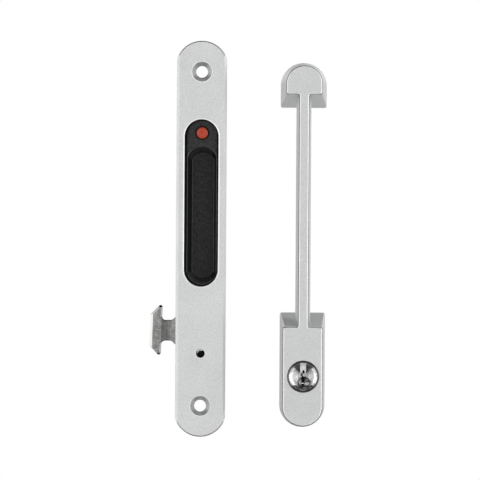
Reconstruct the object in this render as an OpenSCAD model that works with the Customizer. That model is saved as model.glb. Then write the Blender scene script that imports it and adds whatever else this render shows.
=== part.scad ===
// Sliding latch lock for a sliding door, in two units that stand side by side.
// The inside unit is a face plate with a finger pull that lifts a double hook.
// The outside unit is a pull handle with a key cylinder in its lower foot.
// Z is up, the fronts face -Y, and y = 0 is the door's surface.
// The origin is midway between the face plate's two fixing holes.

/* [Face plate] */
// Length of the face plate
plate_len = 189.6; // [184:0.2:210]
// Width of the face plate
plate_w = 24; // [23.5:0.5:30]
// Thickness of the face plate
plate_t = 2.5; // [2.5:0.25:4]
// How much the radius of a rounded end exceeds half its width
end_bulge = 0.5; // [0.2:0.1:1]
// Width of the bevel along the plate's long edges
bevel_w = 1.2; // [0.6:0.1:1.5]
// Depth of the bevel along the plate's long edges
bevel_d = 0.7; // [0.3:0.1:1.2]
// Distance between the two fixing holes
fix_spacing = 160; // [156:1:164]
// Diameter of the fixing holes
fix_hole_d = 5.6; // [5:0.1:6]
// Diameter of the fixing holes' countersinks
fix_sink_d = 9.7; // [8.5:0.1:10.4]
// Diameter of the small hole in front of the hook's screw
peep_hole_d = 4.5; // [3.5:0.1:5]
// Thickness of the two ribs on the plate's back
rib_t = 1.4; // [1.2:0.1:1.6]
// Depth by which the ribs clasp the case
rib_grip = 4.2; // [4:0.1:5]

/* [Opening for the pull] */
// Length of the opening
open_len = 80; // [76:1:84]
// Width of the opening
open_w = 16.4; // [15.8:0.1:16.6]
// Height of the opening's middle
open_z = 17.15; // [15:0.05:18]
// Size of the broken edge round the opening
open_edge = 0.4; // [0.2:0.1:0.6]

/* [Finger pull] */
// Upward travel of the pull
travel = 10; // [8.5:0.5:10.5]
// Width of the raised face
boss_w = 14.3; // [13.6:0.1:14.4]
// Gap between the raised face and the opening's ends
boss_end_gap = 0.95; // [0.5:0.05:1.2]
// How far the raised face sits to the right of the plate's middle
boss_shift = 0.25; // [0:0.05:0.3]
// How far the groove round the raised face reaches under the opening's edge
groove_reach = 0.2; // [0.1:0.05:0.3]
// Depth of the groove round the raised face
groove_d = 1.5; // [1:0.1:1.8]
// How far the slider plate reaches under the face plate
slide_cover = 0.8; // [0.7:0.1:1]
// Thickness of the slider plate
slider_t = 2.9; // [2.6:0.1:3.2]
// Height of the flat above the finger pocket
crescent_h = 11.9; // [11:0.1:13]
// Depth of the finger pocket
pocket_d = 8.5; // [7:0.1:8.8]
// Width of the flat rim beside the pocket
pocket_rim = 0.25; // [0.2:0.05:0.5]
// How far the pocket's sides lean in
pocket_side_lean = 1.95; // [1:0.05:2.5]
// How far the pocket's ends lean in
pocket_end_lean = 3.4; // [2:0.1:4]
// How far the pocket's floor sits to the right of its rim
floor_shift = 0.4; // [0:0.05:0.5]
// Wall of the finger pocket
pocket_wall = 1; // [0.8:0.1:1]
// Diameter of the red indicator
dot_d = 5.5; // [5:0.1:6]
// Diameter of the well that the indicator sits in
dot_well_d = 6.6; // [6.4:0.1:7]
// Depth of the indicator's face in its well
dot_sunk = 0.5; // [0.3:0.1:0.8]
// Distance from the opening's top to the indicator's centre
dot_drop = 6.4; // [5.8:0.1:6.6]

/* [Case] */
// Thickness of the case's side and end walls
case_wall = 1.2; // [1:0.1:1.3]
// Thickness of the case's back wall
case_back_t = 2; // [1.5:0.1:2.5]
// Distance from a fixing hole's axis to the case's end
case_end_gap = 5.5; // [5.4:0.1:6]
// Diameter of the case screws
case_screw_d = 2.5; // [2:0.1:2.6]

/* [Hook] */
// Height of the hook's middle at rest
hook_z = -44; // [-44.3:0.1:-43.3]
// How far the hook stands out past the plate's edge
hook_out = 12.3; // [11:0.1:14]
// Height of the hook's head
head_h = 23.9; // [22:0.1:25]
// Depth of the head's front
head_d = 4.9; // [4:0.1:5.4]
// Extra depth of the head at its back
head_back = 1.3; // [0.5:0.1:1.6]
// Size of the head's corner chamfers
head_chamfer = 4.5; // [4:0.1:4.6]
// Size of the bevel on the nose
nose_bevel = 1.2; // [0.8:0.1:1.5]
// Thickness of the head
head_t = 6; // [5:0.1:6.4]
// Thickness of the hook's plate
hook_t = 4; // [3.5:0.1:4]
// Height of the neck
neck_h = 9.5; // [8:0.1:11]
// Radius of the fillets between neck and head
neck_fillet = 1.6; // [1:0.1:2]
// How far the neck flares out on each side
flare = 3.4; // [2.5:0.1:3.6]
// How far outside the plate's edge the flare starts
flare_out = 1.7; // [1:0.1:2.4]
// Distance from the hook's middle down to its clamp screw
clamp_drop = 11; // [10.9:0.1:11.4]
// Diameter of the clamp screw
clamp_d = 4; // [3.5:0.1:4]
// Adjustment of the hook to each side
hook_adjust = 1.5; // [1:0.1:2]

/* [Drive] */
// Height of the hub's axis
hub_z = -61.9; // [-62.2:0.1:-61.6]
// Half of the hub's turn in degrees
hub_half_turn = 45; // [45:1:48]
// Diameter of the crank pin
crank_pin_d = 2.5; // [2:0.1:2.6]
// Clearance of the crank pin in its slot
crank_gap = 0.3; // [0.3:0.05:0.4]
// Radius of the hub's journal
journal_r = 5.5; // [5:0.1:5.8]
// Radial clearance of a turning fit
turn_gap = 0.05; // [0.03:0.01:0.1]
// Thickness of the drive bar
bar_t = 2; // [1.6:0.1:2.2]
// Width of the drive bar
bar_w = 9; // [8:0.1:10]
// Width of the tailpiece
tail_w = 6; // [5:0.1:6.4]
// Thickness of the tailpiece
tail_t = 1.6; // [1.2:0.1:2]
// Distance that the tailpiece reaches behind the handle
tail_reach = 22; // [15:1:40]

/* [Handle] */
// Distance from the plate's middle to the handle's middle
handle_x = 48.8; // [40:0.1:80]
// Drop of the handle's middle below the plate's middle
handle_drop = 2.75; // [0:0.05:10]
// Height of the handle above the door
handle_h = 26; // [25:0.5:32]
// Distance between the two threaded posts
post_spacing = 160; // [156:1:164]
// Distance from a post to the centre of the foot's round end
post_inset = 3.7; // [3.2:0.1:4.4]
// Radius of the top foot's round end at the door
top_base_r = 11; // [10.5:0.1:12]
// Radius of the top foot's round end at the front
top_front_r = 8.3; // [7.5:0.1:9]
// Length of the top foot below its round end, at the door
top_base_len = 10.5; // [9:0.1:13]
// Length of the top foot below its round end, at the front
top_front_len = 5.2; // [4:0.1:6]
// Radius of the lower foot's round end at the door
low_base_r = 10.85; // [10.5:0.05:12]
// Radius of the lower foot's round end at the front
low_front_r = 9; // [8.8:0.1:9.6]
// Length of the lower foot above its round end, at the door
low_base_len = 44; // [42:0.1:50]
// Length of the lower foot above its round end, at the front
low_front_len = 37.6; // [36:0.1:40]
// Width of the grip bar at the front
bar_front_w = 4.25; // [3.5:0.05:6]
// Width of the grip bar at the back
bar_back_w = 7.6; // [6.5:0.1:9]
// Depth of the grip bar
grip_bar_d = 9; // [7:0.1:10]
// Radius of the fillets where the grip bar meets the feet
grip_fillet = 1.5; // [1:0.1:2]
// Size of the broken edge round the handle's front
front_edge = 0.5; // [0.3:0.1:0.8]
// Wall of the hollow feet
foot_wall = 2.2; // [2:0.1:2.6]
// Diameter of the holes that the fixing screws thread into
post_hole_d = 4.2; // [4:0.1:4.5]
// Depth of those holes
post_hole_d_len = 16; // [10:0.5:18]
// Diameter of the posts round those holes
post_d = 9; // [8:0.1:10]
// How far the posts stand proud of the feet's rims
post_proud = 0.4; // [0.3:0.1:0.8]

/* [Key cylinder] */
// Height of the cylinder above the lower post
cyl_rise = 18.1; // [17.6:0.1:18.4]
// Radius of the cylinder's body
cyl_r = 6.5; // [6.4:0.05:6.6]
// Outer diameter of the bezel ring
bezel_d = 15; // [14.8:0.1:15.4]
// Inner diameter of the bezel ring
bezel_in_d = 12.6; // [12.5:0.05:12.8]
// How far the bezel stands proud of the handle
bezel_proud = 0.5; // [0.3:0.1:1]
// Radius of the plug
plug_r = 5.3; // [5.2:0.05:5.4]
// Width of the upper part of the keyway
keyway_w = 2.8; // [2.6:0.1:3]
// Width of the lower part of the keyway
keyway_low_w = 1.5; // [1.2:0.1:1.8]
// Diameter of the pins
pin_d = 2.4; // [2:0.1:2.4]
// Distance between neighbouring pins
pin_pitch = 3.2; // [3.1:0.05:3.3]
// Number of pins
pin_count = 5; // [3:1:5]
// Height of the pin chambers above the cylinder's axis
chamber_top = 12.2; // [12:0.1:13]

/* [Hidden] */
$fn = 64;
eps = 0.01;
face_gap = 0.3;
slide_gap = 0.2;
seat_gap = 0.1;
thread_gap = 0.02;
hull_fn = 36;

// Depths of the layers behind the face plate
boss_y = face_gap;
slider_back_y = boss_y + slider_t;
case_front_y = slider_back_y + slide_gap;
rib_depth = case_front_y + rib_grip;
shoulder_y = rib_depth + seat_gap;
pocket_floor_t = 1.3;
bar_y = boss_y + pocket_d + pocket_floor_t;
bar_back_y = bar_y + bar_t;
block_t = 4;
block_back_y = bar_y + block_t;
hub_disc_y = block_back_y + face_gap;
hub_disc_t = 2;
case_back_y = hub_disc_y + hub_disc_t + slide_gap;
case_rear_y = case_back_y + case_back_t;

// Half widths behind the face plate
slider_hw = open_w / 2 + slide_cover;
rib_in = slider_hw + slide_gap;
rib_out = rib_in + rib_t;
case_hw = rib_in - seat_gap;
case_in = case_hw - case_wall;
wide_hw = rib_out - seat_gap;
wide_in = wide_hw - case_wall;
block_hw = wide_in - slide_gap;

// Heights of the case
case_top = fix_spacing / 2 - case_end_gap;
case_in_top = case_top - case_wall;
case_screw_up = 4.5;
case_screw_down = 14;
case_screw_zs = [case_top - case_screw_up, -case_top + case_screw_down];
screw_sink_part = 0.9;
case_screw_y = (case_front_y + rib_depth) / 2;

// Heights of the slider
open_top = open_z + open_len / 2;
open_bottom = open_z - open_len / 2;
boss_top = open_top - boss_end_gap;
boss_bottom = open_bottom + boss_end_gap;
slider_lap = 1;
slider_top = open_top + slider_lap;
slider_bottom = open_bottom - travel - slider_lap;
pocket_top = boss_top - crescent_h;
pocket_bottom = boss_bottom + pocket_rim;
pocket_len = pocket_top - pocket_bottom;
pocket_z = (pocket_top + pocket_bottom) / 2;
pocket_w = boss_w - 2 * pocket_rim;
dot_z = open_top - dot_drop;
dot_len = 3;
dot_ring = 0.5;
dot_dish = 0.15;
top_screw_z = dot_z - 1.2;
low_screw_z = open_bottom - 5.7;
pull_screw_d = 3;
pull_screw_len = 2.7;
pull_head_d = 5.4;
pull_head_t = 1.5;
cross_len = 2.6;
cross_w = 0.7;
cross_depth = 1.1;
detent_z = open_top - 2.5;
detent_y = slider_back_y + 3.4;
dimple_r0 = 1.1;
dimple_r1 = 0.6;
dimple_depth = 0.5;
ball_r = 1.5;
ball_play = 0.05;
ball_x = case_in - ball_play - ball_r;
spring_back_x = ball_x - 5.7;
spring_front_x = ball_x - 1.2;
spring_r = 1.35;
spring_in_r = 0.95;
head_block_hw = 5.5;
foot_block_hw = 4;
foot_block_hh = 3;

// The hook's places
hook_y1 = bar_y;
hook_y0 = hook_y1 - hook_t;
hook_mid_y = (hook_y0 + hook_y1) / 2;
plate_hw = plate_w / 2;
nose_x = -plate_hw - hook_out;
head_back_x = nose_x + head_d;
base_gap = 0.7;
base_hw = case_in - base_gap;
flare_x0 = -plate_hw - flare_out;
flare_x1 = flare_x0 + flare;
base_half_h = neck_h / 2 + flare;
clamp_z = hook_z - clamp_drop;
clamp_margin = 4.7;
base_bottom = clamp_z - clamp_margin;
slot_play = 0.5;
clamp_head_r = 3.5;
clamp_head_t = 3.3;
hex_w = 3;
hex_depth = 2.1;
clamp_slot_d = clamp_d + 0.3;
head_tip = 0.6;

// The drive's places
crank_r = travel / 2 / sin(hub_half_turn);
crank_rest_z = hub_z - travel / 2;
crank_rest_x = crank_r * cos(hub_half_turn);
crank_pin_r = crank_pin_d / 2;
hub_disc_rim = 0.45;
hub_disc_r = crank_r + crank_pin_r + hub_disc_rim;
crank_pin_y = bar_y + 0.6;
block_head = 1.4;
block_lip = 1.2;
block_low_lip = 1.7;
lip_depth = 1.5;
block_foot = 2.2;
block_top = hook_z + base_half_h + block_head;
block_bottom = crank_rest_z - crank_pin_r - crank_gap - block_foot;
bar_over = 4;
bar_top = top_screw_z + bar_over;
bar_bottom = hook_z - 2.4;
rivet_zs = [bar_bottom + 3, bar_bottom + 8];
rivet_r = 1.5;
rivet_head_r = 2.2;
clip_t = 0.8;
clip_rim = 1.6;
clip_groove = 0.5;
clip_mouth = 3.2;
clip_play = 0.05;
clip_y = case_rear_y + 2 * clip_play;
hub_end_y = case_rear_y + 2 * clip_t;
bow_play = 0.15;

// The handle's places
handle_z = -handle_drop;
top_end_z = handle_z + post_spacing / 2 - post_inset;
low_end_z = handle_z - post_spacing / 2 + post_inset;
top_post_z = handle_z + post_spacing / 2;
low_post_z = handle_z - post_spacing / 2;
cyl_z = low_post_z + cyl_rise;
front_y = -handle_h;
grip_back_y = front_y + grip_bar_d;
bezel_seat_y = front_y + 1.3;
bezel_front_y = front_y - bezel_proud;
cyl_front_y = bezel_seat_y;
cyl_rear_y = -5;
plug_clip_y = cyl_rear_y + 2 * clip_play;
core_back_y = -3;
cyl_gap = 0.05;
pin_first = 4.2;
shear_gap = 0.1;
pin_r = pin_d / 2;
pin_gap = 0.05;
key_pin_top = sqrt(pow(plug_r, 2) - pow(pin_r, 2)) - 0.04;
driver_bottom = plug_r + turn_gap + shear_gap;
driver_len = 3.4;
pin_lens = [2.6, 3.3, 2.9, 3.6, 2.7];
first_pin_y = cyl_front_y + pin_first;
hump_hw = 2.9;
hump_r = chamber_top;
cover_t = 0.8;
plug_neck_r = 4;
plug_end_y = -0.8;
pin_margin = 2.4;
pin_tip = 0.7;
pin_tip_r = 0.4;
keyway_top = 4.7;
keyway_bottom = 4.3;
dish_depth = 0.7;
dish_rim = 0.4;
dish_floor_r = 2.5;
recess_z = -2.9;
recess_r = 3.1;
recess_floor_r = 1.6;
recess_depth = 1.8;
plug_head_gap = 0.1;
plug_tail_room = 1.6;
plug_groove = 0.6;
plug_clip_rim = 0.9;
tail_pin_r = 0.75;
tail_play = 0.1;
tail_in_plug = 3;
retainer_t = 1.2;
retainer_end = 4;
retainer_neck_gap = 0.4;
retainer_screw_len = 6;
retainer_head_r = 2.7;
retainer_head_t = 1.4;
core_over = 7;
core_under = 2;
edge_part = 0.6;
retainer_screw_zs = [cyl_z + hump_r + 4.2, cyl_z - cyl_r - 3];
retainer_screw_d = 3;
tail_front_y = plug_end_y - tail_in_plug;
tail_pin_y = tail_front_y + tail_in_plug / 2;

// A flat outline drawn in X and Z, made solid from y0 back to y1
module slab(y0, y1) {
    translate([0, y1, 0]) rotate([90, 0, 0]) linear_extrude(y1 - y0) children();
}

// A block given by its lowest and highest corners
module block(low, high) {
    translate(low) cube(high - low);
}

// A round bar along Y, with radius r0 at y0 and r1 at y1
module rod_y(x, z, y0, y1, r0, r1) {
    translate([x, y1, z]) rotate([90, 0, 0]) cylinder(h = y1 - y0, r1 = r1, r2 = r0);
}

// A round bar along X
module rod_x(x0, x1, y, z, r) {
    translate([x0, y, z]) rotate([0, 90, 0]) cylinder(h = x1 - x0, r = r);
}

// An outline with long sides and ends that are arcs a little wider than the sides
module lozenge(w, len, bulge) {
    r = w / 2 + bulge;
    intersection() {
        square([w, len], center = true);
        union() {
            for (side = [-1, 1]) translate([0, side * (len / 2 - r)]) circle(r);
            square([w + bulge, len - 2 * r], center = true);
        }
    }
}

// An outline with straight sides and half round ends
module obround(w, len) {
    for (side = [-1, 1]) translate([0, side * (len - w) / 2]) circle(w / 2);
    square([w, len - w], center = true);
}

// The quarter of a square that a round corner leaves, its corner at the origin
module corner_fill(r) {
    difference() {
        square(r);
        translate([r, r]) circle(r);
    }
}

// The plate is an extruded strip with bevelled edges, cut round at both ends
module plate_strip() {
    edge_y = -plate_t + bevel_d;
    intersection() {
        translate([0, 0, -plate_len / 2]) linear_extrude(plate_len)
            polygon([[-plate_hw, 0], [-plate_hw, edge_y], [-plate_hw + bevel_w, -plate_t],
                [plate_hw - bevel_w, -plate_t], [plate_hw, edge_y], [plate_hw, 0]]);
        slab(-plate_t - 1, 1) lozenge(plate_w, plate_len, end_bulge);
    }
}

module face_plate() {
    color("gainsboro") difference() {
        union() {
            plate_strip();
            for (side = [-1, 1]) mirror([side < 0 ? 1 : 0, 0, 0])
                block([rib_in, -eps, -case_top], [rib_out, rib_depth, case_top]);
        }
        slab(-plate_t - 1, eps) translate([0, open_z]) obround(open_w, open_len);
        flared_obround(open_w, open_len, open_edge);
        for (side = [-1, 1]) {
            rod_y(0, side * fix_spacing / 2, -plate_t - 1, 1, fix_hole_d / 2, fix_hole_d / 2);
            rod_y(0, side * fix_spacing / 2, -plate_t - eps, -plate_t + (fix_sink_d - fix_hole_d) / 2,
                fix_sink_d / 2, fix_hole_d / 2);
        }
        rod_y(0, clamp_z, -plate_t - 1, 1, peep_hole_d / 2, peep_hole_d / 2);
        hook_window(hook_y0 - slot_play, rib_depth + 1);
        for (side = [-1, 1], z = case_screw_zs) mirror([side < 0 ? 1 : 0, 0, 0]) case_screw(z, thread_gap);
    }
}

// The broken edge round the opening
module flared_obround(w, len, edge) {
    r = w / 2;
    mid = (len - w) / 2;
    y0 = -plate_t - eps;
    y1 = -plate_t + edge;
    for (side = [-1, 1]) rod_y(0, open_z + side * mid, y0, y1, r + edge, r);
    translate([0, 0, open_z - mid]) linear_extrude(2 * mid)
        polygon([[-r - edge, y0], [r + edge, y0], [r, y1], [-r, y1]]);
}

// The way that the hook's plate needs through the plate's rib and the case's left wall
module hook_window(y0, y1) {
    block([-plate_hw - 1, y0, hook_z - base_half_h - slot_play],
        [-case_in + eps, y1, hook_z + base_half_h + slot_play + travel]);
}

// A countersunk screw on the right side, through a rib into the case's wall
module case_screw(z, gap) {
    r = case_screw_d / 2 + gap;
    sink_r = case_screw_d * screw_sink_part + gap;
    rod_x(case_in - gap, rib_out, case_screw_y, z, r);
    translate([rib_out + gap, case_screw_y, z]) rotate([0, -90, 0])
        cylinder(h = sink_r - r, r1 = sink_r, r2 = r);
}

module case_screws() {
    color("dimgray") for (side = [-1, 1], z = case_screw_zs) mirror([side < 0 ? 1 : 0, 0, 0])
        case_screw(z, 0);
}

module lock_case() {
    color("silver") difference() {
        union() {
            block([-case_hw, seat_gap, -case_top], [case_hw, shoulder_y + eps, case_top]);
            block([-wide_hw, shoulder_y, -case_top], [wide_hw, case_rear_y, case_top]);
        }
        block([-case_in, -1, -case_in_top], [case_in, shoulder_y + case_wall + eps, case_in_top]);
        block([-wide_in, shoulder_y + case_wall, -case_in_top], [wide_in, case_back_y, case_in_top]);
        // The walls stop behind the slider plate, and only the ends reach the face plate
        block([-case_hw - 1, -1, -case_in_top], [case_hw + 1, case_front_y, case_in_top]);
        hook_window(hook_y0 - slot_play, hook_y1 + slot_play);
        rod_y(0, hub_z, case_back_y - 1, case_rear_y + 1, journal_r + turn_gap, journal_r + turn_gap);
        for (z = [detent_z, detent_z + travel]) translate([case_in - eps, detent_y, z])
            rotate([0, 90, 0]) cylinder(h = dimple_depth, r1 = dimple_r0, r2 = dimple_r1);
        for (side = [-1, 1], z = case_screw_zs) mirror([side < 0 ? 1 : 0, 0, 0])
            case_screw(z, thread_gap);
    }
}

// The finger pocket's outline at a part of its depth, leaning in from its rim
module pocket_layer(y, part, grow) {
    w = pocket_w - 2 * part * pocket_side_lean + 2 * grow;
    len = pocket_len - 2 * part * pocket_end_lean + 2 * grow;
    slab(y, y + eps) translate([boss_shift + part * floor_shift, pocket_z])
        lozenge(w, len, end_bulge, $fn = hull_fn);
}

module slide_pull() {
    color([0.13, 0.13, 0.14]) difference() {
        union() {
            block([-slider_hw, boss_y, slider_bottom], [slider_hw, slider_back_y, slider_top]);
            hull() {
                pocket_layer(slider_back_y - eps, (slider_back_y - boss_y) / pocket_d, pocket_wall);
                pocket_layer(bar_y - eps, 1, pocket_wall);
            }
            block([-head_block_hw, slider_back_y - eps, pocket_top + pocket_wall],
                [case_in - slot_play, bar_y, open_top - slide_gap]);
            block([-foot_block_hw, slider_back_y - eps, low_screw_z - foot_block_hh],
                [foot_block_hw, bar_y, low_screw_z + foot_block_hh]);
        }
        groove_ring();
        hull() {
            pocket_layer(boss_y - eps, 0, 0);
            pocket_layer(boss_y + pocket_d - eps, 1, 0);
        }
        rod_y(boss_shift, dot_z, -1, boss_y + 2 * dot_sunk, dot_well_d / 2, dot_well_d / 2);
        rod_y(boss_shift, dot_z, 0, boss_y + dot_sunk + dot_len, dot_d / 2, dot_d / 2);
        rod_x(spring_back_x, case_in + 1, detent_y, detent_z, ball_r + ball_play);
        for (z = [top_screw_z, low_screw_z])
            rod_y(0, z, bar_y - pull_screw_len, bar_y + 1, pull_screw_d / 2, pull_screw_d / 2);
    }
}

// The groove that sets off the raised face
module groove_ring() {
    boss_len = boss_top - boss_bottom;
    slab(boss_y - 1, boss_y + groove_d) difference() {
        translate([0, open_z]) obround(open_w + 2 * groove_reach, open_len + 2 * groove_reach);
        translate([boss_shift, (boss_top + boss_bottom) / 2]) obround(boss_w, boss_len);
    }
}

module indicator_dot() {
    y0 = boss_y + dot_sunk;
    r = dot_d / 2;
    color([0.75, 0.2, 0.12]) difference() {
        rod_y(boss_shift, dot_z, y0, y0 + dot_len, r, r);
        rod_y(boss_shift, dot_z, y0 - eps, y0 + dot_dish, r - dot_ring, r - dot_ring - dot_dish);
    }
}

module drive_bar() {
    color("lightsteelblue") difference() {
        block([-bar_w / 2, bar_y, bar_bottom], [bar_w / 2, bar_back_y, bar_top]);
        for (z = [top_screw_z, low_screw_z])
            rod_y(0, z, bar_y - 1, bar_back_y + 1, pull_screw_d / 2 + thread_gap,
                pull_screw_d / 2 + thread_gap);
        for (z = rivet_zs) {
            rod_y(0, z, bar_y - 1, bar_back_y + 1, rivet_r + thread_gap, rivet_r + thread_gap);
            rod_y(0, z, bar_y - eps, bar_back_y + eps, rivet_head_r + thread_gap, rivet_r + thread_gap);
        }
    }
}

module pull_screws() {
    color("dimgray") for (z = [top_screw_z, low_screw_z]) {
        rod_y(0, z, bar_y - pull_screw_len, bar_back_y + eps, pull_screw_d / 2, pull_screw_d / 2);
        difference() {
            rod_y(0, z, bar_back_y, bar_back_y + pull_head_t, pull_head_d / 2,
                pull_head_d / 2 - 0.5);
            cross_recess(z, bar_back_y + pull_head_t);
        }
    }
}

// The cross in a screw's head
module cross_recess(z, y) {
    for (half = [[cross_len / 2, cross_w / 2], [cross_w / 2, cross_len / 2]])
        block([-half[0], y - cross_depth, z - half[1]], [half[0], y + 1, z + half[1]]);
}

module hook_carrier() {
    lip_y = bar_y - lip_depth;
    slot_hh = crank_pin_r + crank_gap;
    color("slategray") difference() {
        union() {
            block([-block_hw, bar_y, block_bottom], [block_hw, block_back_y, block_top]);
            block([-base_hw, lip_y, block_top - block_lip], [base_hw, bar_y + eps, block_top]);
            block([-base_hw, lip_y, base_bottom - block_low_lip],
                [base_hw, bar_y + eps, base_bottom - seat_gap]);
        }
        block([-bar_w / 2 - seat_gap, lip_y - 1, bar_bottom - seat_gap],
            [bar_w / 2 + seat_gap, bar_back_y, block_top + 1]);
        for (z = rivet_zs) rod_y(0, z, bar_y, block_back_y + 1, rivet_r, rivet_r);
        rod_y(0, clamp_z, bar_y - 1, block_back_y + 1, clamp_d / 2 + thread_gap, clamp_d / 2 + thread_gap);
        block([crank_rest_x - slot_hh, lip_y - 1, crank_rest_z - slot_hh],
            [block_hw + 1, block_back_y + 1, crank_rest_z + slot_hh]);
    }
}

module bar_rivets() {
    color("darkgray") for (z = rivet_zs) {
        rod_y(0, z, bar_y, bar_back_y, rivet_head_r, rivet_r);
        rod_y(0, z, bar_back_y - eps, block_back_y, rivet_r, rivet_r);
    }
}

// The head's outline from the front
module head_outline() {
    hh = head_h / 2;
    flat = hh - head_chamfer;
    back_x = head_back_x + head_back;
    tip = head_tip;
    polygon([[nose_x, -flat], [nose_x, flat], [nose_x + head_chamfer - tip, hh - tip],
        [nose_x + head_chamfer, hh], [back_x - tip, hh], [back_x, hh - tip],
        [back_x, -hh + tip], [back_x - tip, -hh], [nose_x + head_chamfer, -hh],
        [nose_x + head_chamfer - tip, -hh + tip]]);
}

// The neck, its flare and the plate that is clamped in the case, from the front
module shank_outline() {
    half = neck_h / 2;
    polygon([[head_back_x, -half], [head_back_x, half], [flare_x0, half],
        [flare_x1, base_half_h], [base_hw, base_half_h], [base_hw, base_bottom - hook_z],
        [-base_hw, base_bottom - hook_z], [-base_hw, -base_half_h], [flare_x1, -base_half_h],
        [flare_x0, -half]]);
    for (side = [-1, 1]) translate([head_back_x + head_back, side * half])
        mirror([0, side < 0 ? 1 : 0]) corner_fill(neck_fillet);
}

module double_hook() {
    y0 = hook_mid_y - head_t / 2;
    y1 = hook_mid_y + head_t / 2;
    color([0.62, 0.62, 0.6]) {
        difference() {
            union() {
                intersection() {
                    slab(y0, y1) translate([0, hook_z]) head_outline();
                    translate([0, 0, hook_z - head_h]) linear_extrude(2 * head_h)
                        polygon([[nose_x, y0 + nose_bevel], [nose_x + nose_bevel, y0],
                            [head_back_x, y0], [head_back_x + head_back, y0 + head_back],
                            [head_back_x + head_back, y1], [nose_x + nose_bevel, y1],
                            [nose_x, y1 - nose_bevel]]);
                }
                slab(hook_y0, hook_y1 - eps) translate([0, hook_z]) shank_outline();
            }
            slab(hook_y0 - 1, hook_y1 + 1) translate([0, clamp_z]) rotate(90)
                obround(clamp_slot_d, clamp_slot_d + 2 * hook_adjust);
        }
    }
}

module clamp_screw() {
    color([0.1, 0.1, 0.1]) difference() {
        union() {
            rod_y(0, clamp_z, hook_y0 - clamp_head_t, hook_y0, clamp_head_r, clamp_head_r);
            rod_y(0, clamp_z, hook_y0 - eps, block_back_y, clamp_d / 2, clamp_d / 2);
        }
        slab(hook_y0 - clamp_head_t - 1, hook_y0 - clamp_head_t + hex_depth) translate([0, clamp_z])
            circle(d = hex_w / cos(30), $fn = 6);
    }
}

module detent_ball() {
    color("silver") translate([ball_x, detent_y, detent_z]) sphere(ball_r);
}

module detent_spring() {
    color("gray") difference() {
        rod_x(spring_back_x, spring_front_x, detent_y, detent_z, spring_r);
        rod_x(spring_back_x - 1, ball_x, detent_y, detent_z, spring_in_r);
    }
}

// The hole that the key's tailpiece turns in, with a quarter turn of free play
module bow_tie() {
    r = tail_w / 2 + bow_play;
    half_t = tail_t / 2 + tail_play;
    intersection() {
        circle(r);
        union() {
            for (a = [-hub_half_turn, hub_half_turn]) rotate(a) square([2 * half_t, 3 * r], center = true);
            for (side = [-1, 1]) polygon([[0, 0],
                [-side * 2 * r * sin(hub_half_turn), side * 2 * r * cos(hub_half_turn)],
                [side * 2 * r * sin(hub_half_turn), side * 2 * r * cos(hub_half_turn)]]);
        }
    }
}

module drive_hub() {
    color("darkgray") difference() {
        union() {
            rod_y(0, hub_z, hub_disc_y, hub_disc_y + hub_disc_t, hub_disc_r, hub_disc_r);
            rod_y(0, hub_z, hub_disc_y, hub_end_y, journal_r, journal_r);
        }
        slab(hub_disc_y - 1, hub_end_y + 1) translate([0, hub_z]) rotate(hub_half_turn) bow_tie();
        translate([crank_rest_x, 0, crank_rest_z])
            rod_y(0, 0, hub_disc_y - 1, hub_disc_y + hub_disc_t + 1, crank_pin_r, crank_pin_r);
        difference() {
            rod_y(0, hub_z, clip_y, clip_y + clip_t, journal_r + 1, journal_r + 1);
            rod_y(0, hub_z, clip_y - 1, clip_y + clip_t + 1, journal_r - clip_groove,
                journal_r - clip_groove);
        }
    }
}

module crank_pin() {
    color("silver") rod_y(crank_rest_x, crank_rest_z, crank_pin_y, hub_disc_y + hub_disc_t,
        crank_pin_r, crank_pin_r);
}

module hub_clip() {
    color("dimgray") slab(clip_y + clip_play, clip_y + clip_t - clip_play) translate([0, hub_z])
        clip_ring(journal_r + clip_rim, journal_r - clip_groove);
}

// A ring that is open at the bottom
module clip_ring(r_out, r_in) {
    difference() {
        circle(r_out);
        circle(r_in + clip_play);
        translate([-clip_mouth / 2, -r_out - 1]) square([clip_mouth, r_out]);
    }
}

// A foot that leans in from the door to the front, round at one end and flat at the other
module foot_form(base_r, front_r, base_len, front_len, y0, y1) {
    intersection() {
        rod_y(0, 0, y0, y1, front_r, base_r);
        block([-2 * base_r, y0 - 1, -front_len / 3], [2 * base_r, y1 + 1, 2 * base_r]);
    }
    intersection() {
        translate([0, 0, -base_len - 1]) linear_extrude(base_len + 1)
            polygon([[-front_r, y0], [front_r, y0], [base_r, y1], [-base_r, y1]]);
        rotate([90, 0, 90]) translate([0, 0, -base_r - 1]) linear_extrude(2 * base_r + 2)
            polygon([[y0, 0], [y1, 0], [y1, -base_len], [y0, -front_len]]);
    }
}

// The foot's outer form, with a broken edge round its front
module foot_shell(base_r, front_r, base_len, front_len) {
    side_slope = (base_r - front_r) / handle_h;
    len_slope = (base_len - front_len) / handle_h;
    edge_y = front_y + front_edge;
    edge_r = front_r + side_slope * front_edge;
    edge_len = front_len + len_slope * front_edge;
    foot_form(base_r, edge_r, base_len, edge_len, edge_y, -post_proud);
    foot_form(edge_r, front_r - front_edge * edge_part, edge_len, front_len - front_edge * edge_part,
        front_y, edge_y + eps);
}

// The hollow at a foot's back
module foot_hollow(base_r, front_r, base_len, front_len) {
    wall = foot_wall;
    foot_form(base_r - wall, front_r - wall, base_len - wall, front_len - wall,
        front_y + wall + front_edge, eps);
}

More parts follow.
